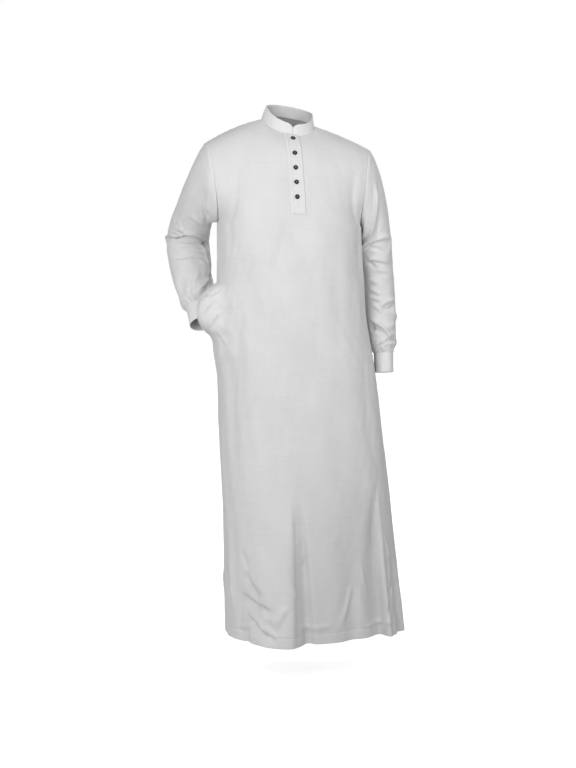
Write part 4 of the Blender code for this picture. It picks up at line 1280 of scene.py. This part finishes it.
for name, side in SIDES.items():
    grid, normal = cuff_form(name)
    CUFFS[name] = grid
    piece = shell("robe_cuff_" + name, grid, grid - BAND * normal, True, BAND_CLOTH,
                  round_top=4, round_bottom=3, sign=side["sign"])
    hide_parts("cuff_" + name)
    print("cuff", name, "area %.4f m2" % area_of(grid, True))

# %% [markdown]
# ## The stand collar
# The collar is a doubled band sewn to the neck seam. It leans in towards the neck, and its two
# ends round down to a small notch at the front. A band cut straight would stand away from the
# neck, which is why the lean is part of the formula. Its fold at the top is rounded, and two
# lines of stitching press shallow grooves into it.

# %% The collar
COLLAR = {"height": 29.0, "end_height": 15.0, "end_round": 17.0, "lean": 0.27,
          "up": (0.10, -0.28, 1.0), "gap": 0.3}
COLLAR_TURN = stops((0, 6, 10), (6, 30, 24), (30, 330, 150), (330, 354, 24), (354, 360, 10))
COLLAR_T = stops((-0.05, 0.04, 2), (0.04, 0.3, 6), (0.3, 0.72, 7), (0.72, 0.97, 7), (0.97, 1, 2))


def collar_form():
    """Neck seam carried up and in: base + height times (up + lean times inward). The height
    rounds down like a quarter circle towards each end."""
    turn = COLLAR["gap"] + COLLAR_TURN * (360 - 2 * COLLAR["gap"]) / 360
    from_end = np.minimum(turn, 360 - turn) / COLLAR["end_round"]
    rounding = np.sqrt(1 - (1 - np.clip(from_end, 0, 1)) ** 2)
    height = COLLAR["end_height"] + (COLLAR["height"] - COLLAR["end_height"]) * rounding
    climb = (COLLAR_T[:, None] * height[None, :])[..., None]
    base = neck_point(turn)[None]
    inward = unit(-base * np.array((1.0, 1.0, 0.0)))
    grid = base + climb * unit(np.array(COLLAR["up"])) + climb * COLLAR["lean"] * inward
    normal = normals_of(grid, False)
    up = climb[..., 0]
    from_top = height[None, :] - up
    dents = 0.45 * np.sin(np.radians(turn) * 7 + 0.5)[None, :] * np.sin(np.pi * COLLAR_T)[:, None]
    grooves = -0.35 * (bell((up - 3.0) / 1.1) + bell((from_top - 4.5) / 1.1))
    return grid + (0.5 + dents + grooves)[..., None] * normal, normal


COLLAR_GRID, collar_normal = collar_form()
piece = shell("robe_collar", COLLAR_GRID, COLLAR_GRID - BAND * collar_normal, False, BAND_CLOTH,
              round_top=5)
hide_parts("collar")
print("collar round: %.0f mm" % lengths(COLLAR_GRID, 1)[2, -1])

# %% [markdown]
# ## The button placket
# The neck opens by a slit at the front, closed by two strips: the wearer's left laps over the
# right and the lower strip shows beside it as a narrow band. Both strips lie on the creased
# front, so their points are read from its grid and moved out along its normals. That keeps them
# on the cloth whatever the creases do.

# %% Reading points from the front
FRONT = PANELS[True]
FRONT_NORMAL = PANEL_OUT[True]
YOKE_START = len(LEVELS) - 1


def on_grid(grid, row, col):
    """Points between grid points: straight from one row and one column to the next."""
    r = np.clip(np.floor(row).astype(int), 0, grid.shape[0] - 2)
    c = np.clip(np.floor(col).astype(int), 0, grid.shape[1] - 2)
    fr = (row - r)[..., None]
    fc = (col - c)[..., None]
    low = grid[r, c] * (1 - fc) + grid[r, c + 1] * fc
    high = grid[r + 1, c] * (1 - fc) + grid[r + 1, c + 1] * fc
    return low * (1 - fr) + high * fr


def column_at(row, x):
    """Column of the front grid where x is reached on a row."""
    cols = np.arange(FRONT.shape[1], dtype=float)
    line = on_grid(FRONT, np.full(len(cols), float(row)), cols)
    return np.interp(x, line[:, 0], cols)


def row_at(x, level):
    """Row of the front's yoke where a level is reached at a given x."""
    rows = np.arange(YOKE_START - 4, FRONT.shape[0], dtype=float)
    cols = np.array([column_at(row, x) for row in rows])
    line = on_grid(FRONT, np.minimum(rows, FRONT.shape[0] - 1.001), cols)
    return np.interp(level, line[:, 2], rows)


print("column at the middle of the chest: %.1f of %d" % (column_at(YOKE_START, 0.0),
                                                        FRONT.shape[1]))


# %% The shape of a strip
PLACKET = {"half": 15.5, "peek": 8.5, "foot": -249.0, "drift": 5.0}
UNDER_LAYER = 1.0          # thickness of the lower strip
OVER_LAYER = 1.6           # thickness of the upper strip
AIR = 0.35                 # gap under each strip
EDGE = 1.2                 # width over which a strip's edge is rounded
LINE_IN = 2.6              # distance of the stitching from the upper strip's edges


def strip(left, right, foot, rows):
    """Points and normals of a strip on the front, between two edges given in mm from its own
    middle line, which drifts sideways towards its foot."""
    first = row_at(0.0, foot)
    last = FRONT.shape[0] - 1.001
    across = stops((left, left + EDGE, 4), (left + EDGE, right - EDGE, 18),
                   (right - EDGE, right, 4))
    points, normals = [], []
    for row in np.linspace(first, last, rows):
        middle = PLACKET["drift"] * (last - row) / (last - first)
        cols = column_at(row, across + middle)
        at = np.full(len(cols), row)
        points.append(on_grid(FRONT, at, cols))
        normals.append(on_grid(FRONT_NORMAL, at, cols))
    return np.array(points), unit(np.array(normals)), across


def pillow(across, along, thick):
    """Height of a strip's face: thick * (0.45 + 0.55 * quarter circle) close to its edges."""
    side = np.minimum(across - across[0], across[-1] - across)[None, :]
    edge = np.minimum(side, along)
    fall = 1 - np.clip(edge / EDGE, 0, 1)
    return thick * (0.45 + 0.55 * np.sqrt(1 - fall ** 2))


print("height of a strip's face, edge to middle:",
      pillow(np.linspace(0, 6, 11), 3.0, OVER_LAYER)[0, :6].round(2))


# %% The two strips
def placket_strip(name, left, right, foot, base, thick, stitched):
    """One strip of the placket, its face dipping under the lines of stitching."""
    points, normals, across = strip(left, right, foot, 64)
    along = lengths(points, 0)
    height = pillow(across, along, thick)
    for line in stitched:
        height = height - 0.28 * bell((across[None, :] - line) / 0.9)
    wave = np.sin(along / 6.3 + 0.8) + 0.6 * np.sin(along / 3.7)
    height = height + 0.22 * wave * bell((across[None, :] - left) / 5.0)
    outer = points + (base + height)[..., None] * normals
    made = shell(name, outer, points + base * normals, False, PLACKET_CLOTH)
    return outer, normals, made


half, peek = PLACKET["half"], PLACKET["peek"]
UNDER, under_normal, piece = placket_strip("robe_placket_under", -half - peek, half - 1.0,
                                           PLACKET["foot"], AIR, UNDER_LAYER, (-half - peek + 2,))
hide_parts("placket_under")
OVER, over_normal, piece = placket_strip("robe_placket", -half, half, PLACKET["foot"],
                                         2 * AIR + UNDER_LAYER, OVER_LAYER,
                                         (-half + LINE_IN, half - LINE_IN))
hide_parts("placket")
INNER = 9                  # a column well inside the strip
print("placket: %.0f mm long, %.0f mm wide" % (lengths(OVER, 0)[-1, INNER],
                                              lengths(OVER, 1)[20, -1]))

# %% [markdown]
# ## Buttons
# A turned button is a profile carried once round an axis. The profile gives the raised rim and
# the dished centre, and four small bells of negative height sink the thread holes into it. A
# Spin of a drawn curve would make the same body, but the holes would need a Boolean. Each
# button stands on the placket, square to the cloth, and was sewn on by hand, so each is turned
# a little differently.

# %% Sizes of the buttons
BUTTON = {"count": 5, "first": -50.0, "pitch": 38.6, "x": -1.6, "radius": 6.2, "hole": 1.55,
          "hole_size": 0.62, "hole_depth": 0.8}
BUTTON_FACE = columns(("radius", "height"), (
    (0.03, 1.75), (0.12, 1.75), (0.2, 1.76), (0.28, 1.78), (0.36, 1.8), (0.44, 1.86),
    (0.52, 1.98), (0.6, 2.25), (0.68, 2.7), (0.76, 3.0), (0.84, 3.1), (0.91, 3.0), (0.96, 2.75),
    (1.0, 2.3), (1.0, 1.6), (0.97, 1.0), (0.88, 0.55), (0.6, 0.35), (0.3, 0.3), (0.03, 0.3),
))
BUTTON_TURNS = (38.0, 12.0, 20.0, 5.0, 27.0)
FACE_ROWS = 12             # rows of that profile that belong to the face
SEAT = 2 * AIR + UNDER_LAYER + OVER_LAYER
print("a button sits %.2f mm above the front" % SEAT)


# %% A closed solid of rings
def tube_quads(rows, cols):
    """Four-cornered faces between the rings of a tube."""
    r, c = np.meshgrid(np.arange(rows - 1), np.arange(cols), indexing="ij")
    after = (c + 1) % cols
    return np.stack([r * cols + c, (r + 1) * cols + c, (r + 1) * cols + after,
                     r * cols + after], axis=-1).reshape(-1, 4)


def turned_solid(name, points, material):
    """Closed solid of rings: rings in rows, and a point that closes each end."""
    rows, cols = points.shape[:2]
    quads = tube_quads(rows, cols)
    ring = np.arange(cols)
    after = (ring + 1) % cols
    top, end = rows * cols, rows * cols + 1
    first = np.stack([np.full(cols, top), ring, after], axis=-1)
    last = (rows - 1) * cols + np.stack([after, ring], axis=-1)
    last = np.concatenate([np.full((cols, 1), end), last], axis=1)
    verts = np.concatenate([points.reshape(-1, 3), points[0].mean(0, keepdims=True),
                            points[-1].mean(0, keepdims=True)])
    return new_piece(name, verts, quads.tolist() + first.tolist() + last.tolist(), material)


print("faces of a tube of 3 rings of 8:", len(tube_quads(3, 8)))


# %% The five buttons
def seat_of(number):
    """Centre, sideways, up and outward directions of the cloth under a button."""
    level = BUTTON["first"] - BUTTON["pitch"] * number
    row = row_at(BUTTON["x"], level)
    col = column_at(row, BUTTON["x"])
    at = [on_grid(FRONT, np.array(row + a), np.array(col + b)) for a, b in
          ((0, 0), (1.2, 0), (-1.2, 0), (0, 1.2), (0, -1.2))]
    up = unit(at[1] - at[2])
    out = unit(np.cross(at[3] - at[4], up))
    return at[0] + SEAT * out, np.cross(up, out), up, out


def button_points(number):
    """Rings of a button: radius and height from the profile, less a bell at each hole."""
    centre, side, up, out = seat_of(number)
    angle = np.linspace(0, 2 * np.pi, 49)[:-1]
    radius = BUTTON_FACE["radius"][:, None] * BUTTON["radius"] + 0 * angle
    height = BUTTON_FACE["height"][:, None] + 0 * angle
    x, y = radius * np.cos(angle), radius * np.sin(angle)
    face = (np.arange(len(radius)) < FACE_ROWS)[:, None]
    for k in range(4):
        turn = math.radians(45 + 90 * k + BUTTON_TURNS[number])
        far = np.hypot(x - BUTTON["hole"] * math.cos(turn), y - BUTTON["hole"] * math.sin(turn))
        height = height - BUTTON["hole_depth"] * face * bell(far / BUTTON["hole_size"])
    return centre + x[..., None] * side + y[..., None] * up + height[..., None] * out


for i in range(BUTTON["count"]):
    name = "button_%d" % (i + 1)
    piece = turned_solid("robe_" + name, button_points(i)[:, ::-1], BUTTON_PLASTIC)
    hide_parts(name)
print("buttons: %d of %.1f mm" % (BUTTON["count"], 2 * BUTTON["radius"]))

# %% [markdown]
# ## The pocket bag
# The side pocket is a mouth between two lips of the side seam, with a flat bag behind them. The
# bag starts just inside both lips and closes to a blunt rounded foot, so only its throat shows.

# %% The form of the pocket bag
BAG = {"foot": (-100.0, -32.0, -610.0), "half_height": 84.0, "half_thickness": 9.0,
       "blunt": 0.92, "depth": 2.0, "mouth": (-560.0, -461.0)}


def panel_inside(turn, level, lip, depth):
    """Points of the plain body moved straight inwards by a depth."""
    small = 0.5
    across = skirt(turn + small, level, lip) - skirt(turn - small, level, lip)
    up = skirt(turn, level + small, lip) - skirt(turn, level - small, lip)
    return skirt(turn, level, lip) - depth * unit(np.cross(across, up))


def bag_form():
    """Rings that blend from the loop of the mouth to a flat oval that shrinks to the foot."""
    mouth = np.linspace(*BAG["mouth"], 40)
    loop = np.concatenate([panel_inside(RIGHT, mouth, 1.0, BAG["depth"]),
                           panel_inside(RIGHT, mouth, 0.0, BAG["depth"])[::-1]])
    centre = loop.mean(axis=0)
    angle = np.arctan2(loop[:, 2] - centre[2], -(loop[:, 1] - centre[1]))
    travel = np.array(BAG["foot"]) - centre
    t = np.linspace(0, 1, 30)[:, None]
    shrink = np.sqrt(1 - (BAG["blunt"] * t) ** 4)
    oval = np.stack([0 * t * angle, -BAG["half_thickness"] * (1 - 0.3 * t ** 4) * np.cos(angle),
                     BAG["half_height"] * shrink * np.sin(angle)], axis=-1)
    share = ease(1.4 * t)[..., None]
    inwards = travel * np.stack([t * (1.35 - 0.35 * t), t, t * t], axis=-1)
    grid = (1 - share) * loop[None] + share * (centre + oval) + inwards
    crumple = np.sin(angle * 5 + 4 * t) * np.sin(np.pi * t) * 1.2
    return grid + crumple[..., None] * normals_of(grid, True)


print("points of the bag's plain form:", bag_form().shape[:2])


# %% The pocket bag
def bag_shell():
    """Bag cloth with a closed foot: both faces end in a point at the middle of the last ring."""
    grid = bag_form()
    inner = grid + CLOTH * normals_of(grid, True)
    closing = np.linspace(1.0, 0.02, 7)[1:, None, None]
    outer_end = grid[-1].mean(0) + closing * (grid[-1] - grid[-1].mean(0))
    inner_foot = inner[-1].mean(0) + CLOTH * unit(inner[-2].mean(0) - inner[-1].mean(0))
    inner_end = inner_foot + closing * (inner[-1] - inner[-1].mean(0))
    return np.concatenate([grid, outer_end]), np.concatenate([inner, inner_end])


bag_outer, bag_inner = bag_shell()
piece = shell("robe_pocket_bag", bag_outer, bag_inner, True, POCKET_CLOTH, sign=-1.0)
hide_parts("pocket_bag")
print("pocket bag area %.3f m2" % area_of(bag_outer, True))

# %% [markdown]
# ## Stitches
# Topstitching is what makes sewn edges look sewn. A dashed texture would lie flat, so each
# stitch is a small solid of eight faces, longest along the seam and half sunk in the cloth. All
# stitches of one seam share one mesh. A path is read from the finished grid of its piece, so it
# follows every crease, and the stitches are set along its real length.

# %% The stitch builder
STITCH_SIZE = (2.5, 0.55, 0.42)   # length, width and height
STITCH_PITCH = 3.1                # from one stitch to the next


def spread_evenly(path, normals, pitch):
    """Places at even steps along a path, with their directions and normals."""
    far = np.concatenate([[0], np.cumsum(np.linalg.norm(np.diff(path, axis=0), axis=-1))])
    at = np.arange(pitch / 2, far[-1], pitch)
    place = np.stack([np.interp(at, far, path[:, k]) for k in range(3)], axis=-1)
    normal = unit(np.stack([np.interp(at, far, normals[:, k]) for k in range(3)], axis=-1))
    step = 0.4 * pitch
    ahead = np.stack([np.interp(at + step, far, path[:, k]) for k in range(3)], axis=-1)
    behind = np.stack([np.interp(at - step, far, path[:, k]) for k in range(3)], axis=-1)
    return place, unit(ahead - behind), normal


def stitch_shapes(place, along, normal, size):
    """Corners and faces of stitches: two tips and four corners round the middle of each."""
    side = np.cross(along, normal)
    length, width, height = size
    tips = [place - along * length / 2, place + along * length / 2]
    ring = [place + side * width / 2, place + normal * height, place - side * width / 2,
            place - normal * height]
    corners = np.stack(tips + ring, axis=1)
    pattern = np.array([[0, 3, 2], [0, 4, 3], [0, 5, 4], [0, 2, 5],
                        [1, 2, 3], [1, 3, 4], [1, 4, 5], [1, 5, 2]])
    faces = pattern[None] + 6 * np.arange(len(place))[:, None, None]
    return corners.reshape(-1, 3), faces.reshape(-1, 3)


def stitches(name, runs, size=STITCH_SIZE, pitch=STITCH_PITCH):
    """One piece with the stitches of several runs; a run is a path and its normals."""
    corners, faces, count = [], [], 0
    for path, normals in runs:
        place, along, normal = spread_evenly(path, normals, pitch)
        points, shapes = stitch_shapes(place, along, normal, size)
        corners.append(points)
        faces.append(shapes + count)
        count += len(points)
    made = new_piece(name, np.concatenate(corners), np.concatenate(faces).tolist(), THREAD,
                     smoothed=False)
    print(name, "stitches:", count // 6)


print("stitch of %.1f x %.2f x %.2f mm" % STITCH_SIZE)


# %% Runs read from a grid
def run_along(grid, normals, rows, cols):
    """A run read from a grid at fractional rows and columns of the same number."""
    return on_grid(grid, rows, cols), unit(on_grid(normals, rows, cols))


def row_run(grid, normals, row, start=0.0, end=1.0):
    """A run along one row of a grid, from a share of its width to another."""
    cols = np.linspace(start, end, 4 * grid.shape[1]) * (grid.shape[1] - 1) * 0.99999
    return run_along(grid, normals, np.full(len(cols), float(row)), cols)


def col_run(grid, normals, col, start=0.0, end=1.0):
    """A run along one column of a grid."""
    rows = np.linspace(start, end, 4 * grid.shape[0]) * (grid.shape[0] - 1) * 0.99999
    return run_along(grid, normals, rows, np.full(len(rows), float(col)))


def level_run(grid, normals, distance, from_top=False, trim=0):
    """A run round a band at a distance in mm from its lower or its upper edge. Trim leaves out
    columns at both ends."""
    up = lengths(grid, 0)
    height = up[-1] - distance if from_top else np.full(grid.shape[1], distance)
    cols = np.arange(trim, grid.shape[1] - trim)
    rows = np.array([np.interp(height[k], up[:, k], np.arange(len(up))) for k in cols])
    return run_along(grid, normals, np.minimum(rows, grid.shape[0] - 1.001),
                     np.minimum(cols, grid.shape[1] - 1.001))


def side_run(front, distance, rows, last=False):
    """A run up a panel at a distance in mm from its first or its last column."""
    width = lengths(PANELS[front], 1)
    cols = []
    for row in rows:
        across = width[int(round(row))]
        place = across[-1] - distance if last else distance
        cols.append(np.interp(place, across, np.arange(len(across))))
    return run_along(PANELS[front], PANEL_OUT[front], rows, np.array(cols))


print("points in a run up the front:", len(col_run(FRONT, FRONT_NORMAL, 0)[0]))

# %% [markdown]
# ## The hem's stitches
# The hem is turned up 27 mm and held by one line of machine stitches all round. The line is one
# row of the panels' grids, so it needs no search.

# %% Stitches of the hem
HEM_SPAN = (0.004, 0.996)  # share of a panel's width that the line covers
hem_row = float(np.interp(HEM + HEM_DEPTH, LEVELS, np.arange(len(LEVELS))))
stitches("stitches_hem", [row_run(PANELS[front], PANEL_OUT[front], hem_row, *HEM_SPAN)
                          for front in FACING])

# %% [markdown]
# ## Stitches of the bands
# The collar and the cuffs are doubled bands, topstitched close to both long edges. Their rows do
# not follow those edges exactly, so each line is found by its distance from the edge.

# %% Stitches of the collar and the cuffs
TOP_LINE = 4.4             # distance of the collar's upper line from its fold
LOW_LINE = 4.6             # and of its lower line from the edge inside the neck seam
TRIM = 4                   # columns left free at the collar's round ends
collar_out = normals_of(COLLAR_GRID, False)
stitches("stitches_collar", [
    level_run(COLLAR_GRID, collar_out, TOP_LINE, from_top=True, trim=TRIM),
    level_run(COLLAR_GRID, collar_out, LOW_LINE, trim=TRIM),
])
cuff_runs = []
for name, side in SIDES.items():
    grid = joined(CUFFS[name])
    out = joined(normals_of(CUFFS[name], True, side["sign"]))
    tall = lengths(grid, 0)[-1].mean()
    cuff_runs += [level_run(grid, out, line * tall) for line in CUFF_LINES]
stitches("stitches_cuffs", cuff_runs)

# %% [markdown]
# ## The placket's stitches
# The placket has a line beside each long edge, and a boxed end at its foot that takes the strain
# when the neck is opened. The lower strip shows one line only.

# %% Stitches of the placket
BOX = (3.0, 15.0)          # levels of the box's lower and upper line above the foot
UNDER_LINE = 4.6           # column of the lower strip's one line, in the band that shows
last_row = OVER.shape[0] - 1


def strip_col(distance):
    """Column of the upper strip at a distance from its left edge, at mid height."""
    middle = lengths(OVER, 1)[last_row // 2]
    return float(np.interp(distance, middle, np.arange(OVER.shape[1])))


def strip_row(distance):
    """Row of the upper strip at a distance from its foot."""
    return float(np.interp(distance, lengths(OVER, 0)[:, INNER], np.arange(OVER.shape[0])))


left, right = strip_col(LINE_IN), strip_col(2 * PLACKET["half"] - LINE_IN)
foot = strip_row(BOX[0]) / last_row
placket_runs = [col_run(OVER, over_normal, line, foot, 1.0) for line in (left, right)]
for level in BOX:
    placket_runs.append(run_along(OVER, over_normal, np.full(20, strip_row(level)),
                                  np.linspace(left, right, 20)))
placket_runs.append(col_run(UNDER, under_normal, UNDER_LINE, 0.02, 1.0))
stitches("stitches_placket", placket_runs)


# %% [markdown]
# ## Buttonholes
# A buttonhole is worked with very close stitches that lie across its edge. Two short rails of
# them are enough here, because the button covers the slit.

# %% Buttonholes
BUTTONHOLE = {"half": 7.6, "rail": 0.95, "raised": 0.05}


def buttonhole_runs(number):
    """Two rails of close stitches that lie across them, beside a slit under the button."""
    centre, side, up, out = seat_of(number)
    t = np.linspace(-BUTTONHOLE["half"], BUTTONHOLE["half"], 40)[:, None]
    middle = centre + t * up + BUTTONHOLE["raised"] * out
    return [(middle + offset * side, np.tile(out, (40, 1)))
            for offset in (-BUTTONHOLE["rail"], BUTTONHOLE["rail"])]


hole_runs = [run for k in range(BUTTON["count"]) for run in buttonhole_runs(k)]
stitches("stitches_buttonholes", hole_runs, size=(0.5, 1.7, 0.3), pitch=0.62)

# %% [markdown]
# ## Armholes and the pocket's mouth
# The seam allowance of an armhole is held flat by a line of stitches on the panel, 6.5 mm from
# the seam. The mouth of the pocket, left open in the side seam, is edged in the same way.

# %% Stitches of the armholes and the pocket's mouth
ARMHOLE_IN = 6.5           # distance of the stitching from the armhole
MOUTH_IN = 5.0             # and from the edge of the pocket's mouth
yoke_rows = np.linspace(YOKE_START + 1, FRONT.shape[0] - 2, 240)
stitches("stitches_armholes", [side_run(front, ARMHOLE_IN, yoke_rows, last)
                               for front in FACING for last in (False, True)])
mouth = (LEVELS > LIP["level"][0] + 8) & (LEVELS < LIP["level"][-1] - 8)
mouth_rows = np.nonzero(mouth)[0]
stitches("stitches_pocket", [side_run(front, MOUTH_IN, mouth_rows) for front in FACING])


# %% [markdown]
# ## Threads that hold the buttons
# Each button has four holes, sewn with two strands that cross. A strand is a round tube along an
# arched path; a curve object could do this too, but a mesh of rings keeps its size exact.

# %% Paths of the button threads
STRAND = {"radius": 0.34, "rise": 1.35, "arch": 1.0, "over": 0.25}


def button_thread(number):
    """Two strands that cross a button's middle from hole to hole, arched over it."""
    centre, side, up, out = seat_of(number)
    turn = math.radians(45 + BUTTON_TURNS[number])
    along = side * math.cos(turn) + up * math.sin(turn)
    across = up * math.cos(turn) - side * math.sin(turn)
    t = np.linspace(-1, 1, 15)[:, None]
    arch = STRAND["rise"] + STRAND["arch"] * (1 - t ** 4)
    return [centre + t * BUTTON["hole"] * along + arch * out,
            centre + t * BUTTON["hole"] * across + (arch + STRAND["over"]) * out]


strands = [path for k in range(BUTTON["count"]) for path in button_thread(k)]
print("points along a strand:", len(strands[0]))


# %% Button threads
def strand_rings(path, radius):
    """Rings of eight points round a path, square to it."""
    ahead = unit(np.gradient(path, axis=0))
    side = unit(np.cross(ahead, np.cross(ahead, ahead[len(ahead) // 2] + (0.1, 0.2, 0.3))))
    other = np.cross(ahead, side)
    angle = np.linspace(0, 2 * np.pi, 9)[:-1][None, :, None]
    return path[:, None] + radius * (np.cos(angle) * side[:, None]
                                     + np.sin(angle) * other[:, None])


def strand_mesh(name, paths, radius, material):
    """One piece with a round, flat-ended strand along each path."""
    corners, faces, count = [], [], 0
    for path in paths:
        rings = strand_rings(path, radius)
        rows, cols = rings.shape[:2]
        faces += (tube_quads(rows, cols)[:, [0, 3, 2, 1]] + count).tolist()
        faces += [(np.arange(cols)[::-1] + count).tolist(),
                  (np.arange(cols) + (rows - 1) * cols + count).tolist()]
        corners.append(rings.reshape(-1, 3))
        count += rows * cols
    return new_piece(name, np.concatenate(corners), faces, material)


piece = strand_mesh("button_thread", strands, STRAND["radius"], BUTTON_THREAD)
print("button strands:", len(strands))

# %% [markdown]
# ## Every sheet and the size of its cut
# Each piece was flat cloth before it was sewn. A width and a length are the smallest rectangle
# that holds the pattern piece, and the area is the pattern's own.


# %% Printing the sheets' cuts
def declare(name, width, length, share):
    """Print one sheet of the robe: the rectangle it is cut from and the area of the share of it
    that is cloth.
    """
    print("%-20s cut %.2f x %.2f m, %.3f m2" % (name, width, length, share * width * length))


declare("robe_front", 0.82, 1.43, 0.76)
declare("robe_back", 0.80, 1.45, 0.75)
declare("robe_sleeve_right", 0.56, 0.56, 0.55)
declare("robe_sleeve_left", 0.55, 0.55, 0.54)
declare("robe_cuff_right", 0.24, 0.052, 0.97)
declare("robe_cuff_left", 0.23, 0.052, 0.97)
declare("robe_collar", 0.46, 0.034, 0.92)
declare("robe_placket", 0.033, 0.235, 1.0)
declare("robe_placket_under", 0.04, 0.235, 1.0)
declare("robe_pocket_bag", 0.24, 0.19, 0.8)

# %% [markdown]
# ## Floor, light and camera
# A white garment needs soft light that still comes mostly from one side, or its folds vanish. A
# large low panel in front on one side gives the direction, a weaker one fills the other side, a
# third grazes the flank on the first side, a fourth lights the back, and an even white
# surround does the rest.
#
# The floor is plain and pale. It is brighter to the camera than to the light that bounces off
# it, since a real white floor this bright would wash out the folds from below: a Light Path node
# chooses between the two. Its glow rises away from the robe, so the floor melts into the white.

# %% The floor's material
WHITE = (1.0, 1.0, 1.0, 1.0)
GLOW = (("From Min", 0.5), ("From Max", 3.2), ("To Min", 0.76), ("To Max", 1.0))
floor_material, floor_tree, floor_shader, spot = new_material("pale floor", (0.4, 0.4, 0.4),
                                                              0.9, "Object")
floor_shader.inputs["Base Color"].default_value = (0.4, 0.4, 0.4, 1.0)
floor_shader.inputs["Emission Color"].default_value = WHITE
away = node(floor_tree, "ShaderNodeVectorMath", operation="LENGTH")
fade = node(floor_tree, "ShaderNodeMapRange")
for name, value in GLOW:
    fade.inputs[name].default_value = value
floor_tree.links.new(spot, away.inputs[0])
floor_tree.links.new(away.outputs["Value"], fade.inputs["Value"])
floor_tree.links.new(fade.outputs["Result"], floor_shader.inputs["Emission Strength"])
dim = node(floor_tree, "ShaderNodeBsdfDiffuse")
dim.inputs["Color"].default_value = (0.6, 0.6, 0.6, 1.0)
looked_at = node(floor_tree, "ShaderNodeLightPath")
floor_mix = node(floor_tree, "ShaderNodeMixShader")
floor_tree.links.new(looked_at.outputs["Is Camera Ray"], floor_mix.inputs[0])
floor_tree.links.new(dim.outputs[0], floor_mix.inputs[1])
floor_tree.links.new(floor_shader.outputs[0], floor_mix.inputs[2])
floor_tree.links.new(floor_mix.outputs[0], floor_tree.nodes["Material Output"].inputs["Surface"])
print("floor nodes:", len(floor_tree.nodes))

# %% The floor
FLOOR_LEVEL = -1.515
FLOOR_RADIUS = 14.0
floor_mesh = bpy.data.meshes.new("floor")
turn = np.linspace(0, 2 * np.pi, 97)[:-1]
disc = np.stack([FLOOR_RADIUS * np.cos(turn), FLOOR_RADIUS * np.sin(turn),
                 0 * turn + FLOOR_LEVEL], axis=-1)
floor_mesh.from_pydata(disc, [], [list(range(len(disc)))])
floor_mesh.materials.append(floor_material)
floor = bpy.data.objects.new("floor", floor_mesh)
bpy.context.scene.collection.objects.link(floor)
print("floor at %.3f m" % FLOOR_LEVEL)


# %% [markdown]
# ## Lights
# All four lights are square panels, because a small lamp would draw hard shadows on cloth. The
# camera does not see them. The world is white to the camera and dimmer to everything else.

# %% The lights
def panel_light(name, place, aim, size, watts):
    """A square soft light at a place, turned towards a point."""
    data = bpy.data.lights.new(name, "AREA")
    data.size = size
    data.energy = watts
    lamp = bpy.data.objects.new(name, data)
    lamp.location = place
    lamp.visible_camera = False
    way = np.array(aim) - np.array(place)
    flat = math.hypot(way[0], way[1])
    lamp.rotation_euler = (math.pi / 2 + math.atan2(way[2], flat), 0.0,
                           math.atan2(way[1], way[0]) - math.pi / 2)
    bpy.context.scene.collection.objects.link(lamp)
    return lamp


KEY = panel_light("key light", (-1.25, -2.1, 0.3), (0.0, 0.0, -0.65), 1.2, 31.0)
FILL = panel_light("fill light", (1.35, -2.1, 0.45), (0.2, 0.0, -0.15), 1.1, 4.7)
FILL.data.spread = math.radians(80)   # a narrow beam: the skirt's far side stays darker
SIDE = panel_light("side light", (-2.35, -0.45, -0.95), (-0.15, 0.0, -0.95), 1.2, 6.4)
BACK = panel_light("back light", (1.2, 2.6, 0.6), (0.0, 0.0, -0.7), 1.4, 46.0)
print("lights:", KEY.name, "/", FILL.name, "/", SIDE.name, "/", BACK.name)

# %% The surround
world = bpy.data.worlds.new("studio")
bpy.context.scene.world = world
world.use_nodes = True
sky = world.node_tree
surround = sky.nodes["Background"]
surround.inputs["Color"].default_value = WHITE
surround.inputs["Strength"].default_value = 0.33
backdrop = node(sky, "ShaderNodeBackground", Strength=1.0)
backdrop.inputs["Color"].default_value = WHITE
seen = node(sky, "ShaderNodeLightPath")
either = node(sky, "ShaderNodeMixShader")
sky.links.new(seen.outputs["Is Camera Ray"], either.inputs[0])
sky.links.new(surround.outputs[0], either.inputs[1])
sky.links.new(backdrop.outputs[0], either.inputs[2])
sky.links.new(either.outputs[0], sky.nodes["World Output"].inputs["Surface"])
bpy.context.scene.view_settings.view_transform = "Standard"
print("surround at strength %.2f" % surround.inputs["Strength"].default_value)

# %% [markdown]
# ## Camera
# The camera stands a little to the wearer's right, a bit above the waist, with a long lens,
# because a long lens keeps the shoulders and the hem in proportion.

# %% The camera
CAMERA_TURN = math.radians(-10.0)
CAMERA_FAR = 4.4
CAMERA_HEIGHT = -0.28
AIM_HEIGHT = -0.715
camera_data = bpy.data.cameras.new("camera")
camera_data.lens = 75.0
camera_data.sensor_fit = "VERTICAL"
camera_data.sensor_height = 36.0
camera = bpy.data.objects.new("camera", camera_data)
camera.location = (CAMERA_FAR * math.sin(CAMERA_TURN), -CAMERA_FAR * math.cos(CAMERA_TURN),
                   CAMERA_HEIGHT)
drop = AIM_HEIGHT - CAMERA_HEIGHT
camera.rotation_euler = (math.pi / 2 + math.atan2(drop, CAMERA_FAR), 0.0, CAMERA_TURN)
bpy.context.scene.collection.objects.link(camera)
bpy.context.scene.camera = camera
print("camera at", tuple(round(v, 3) for v in camera.location))
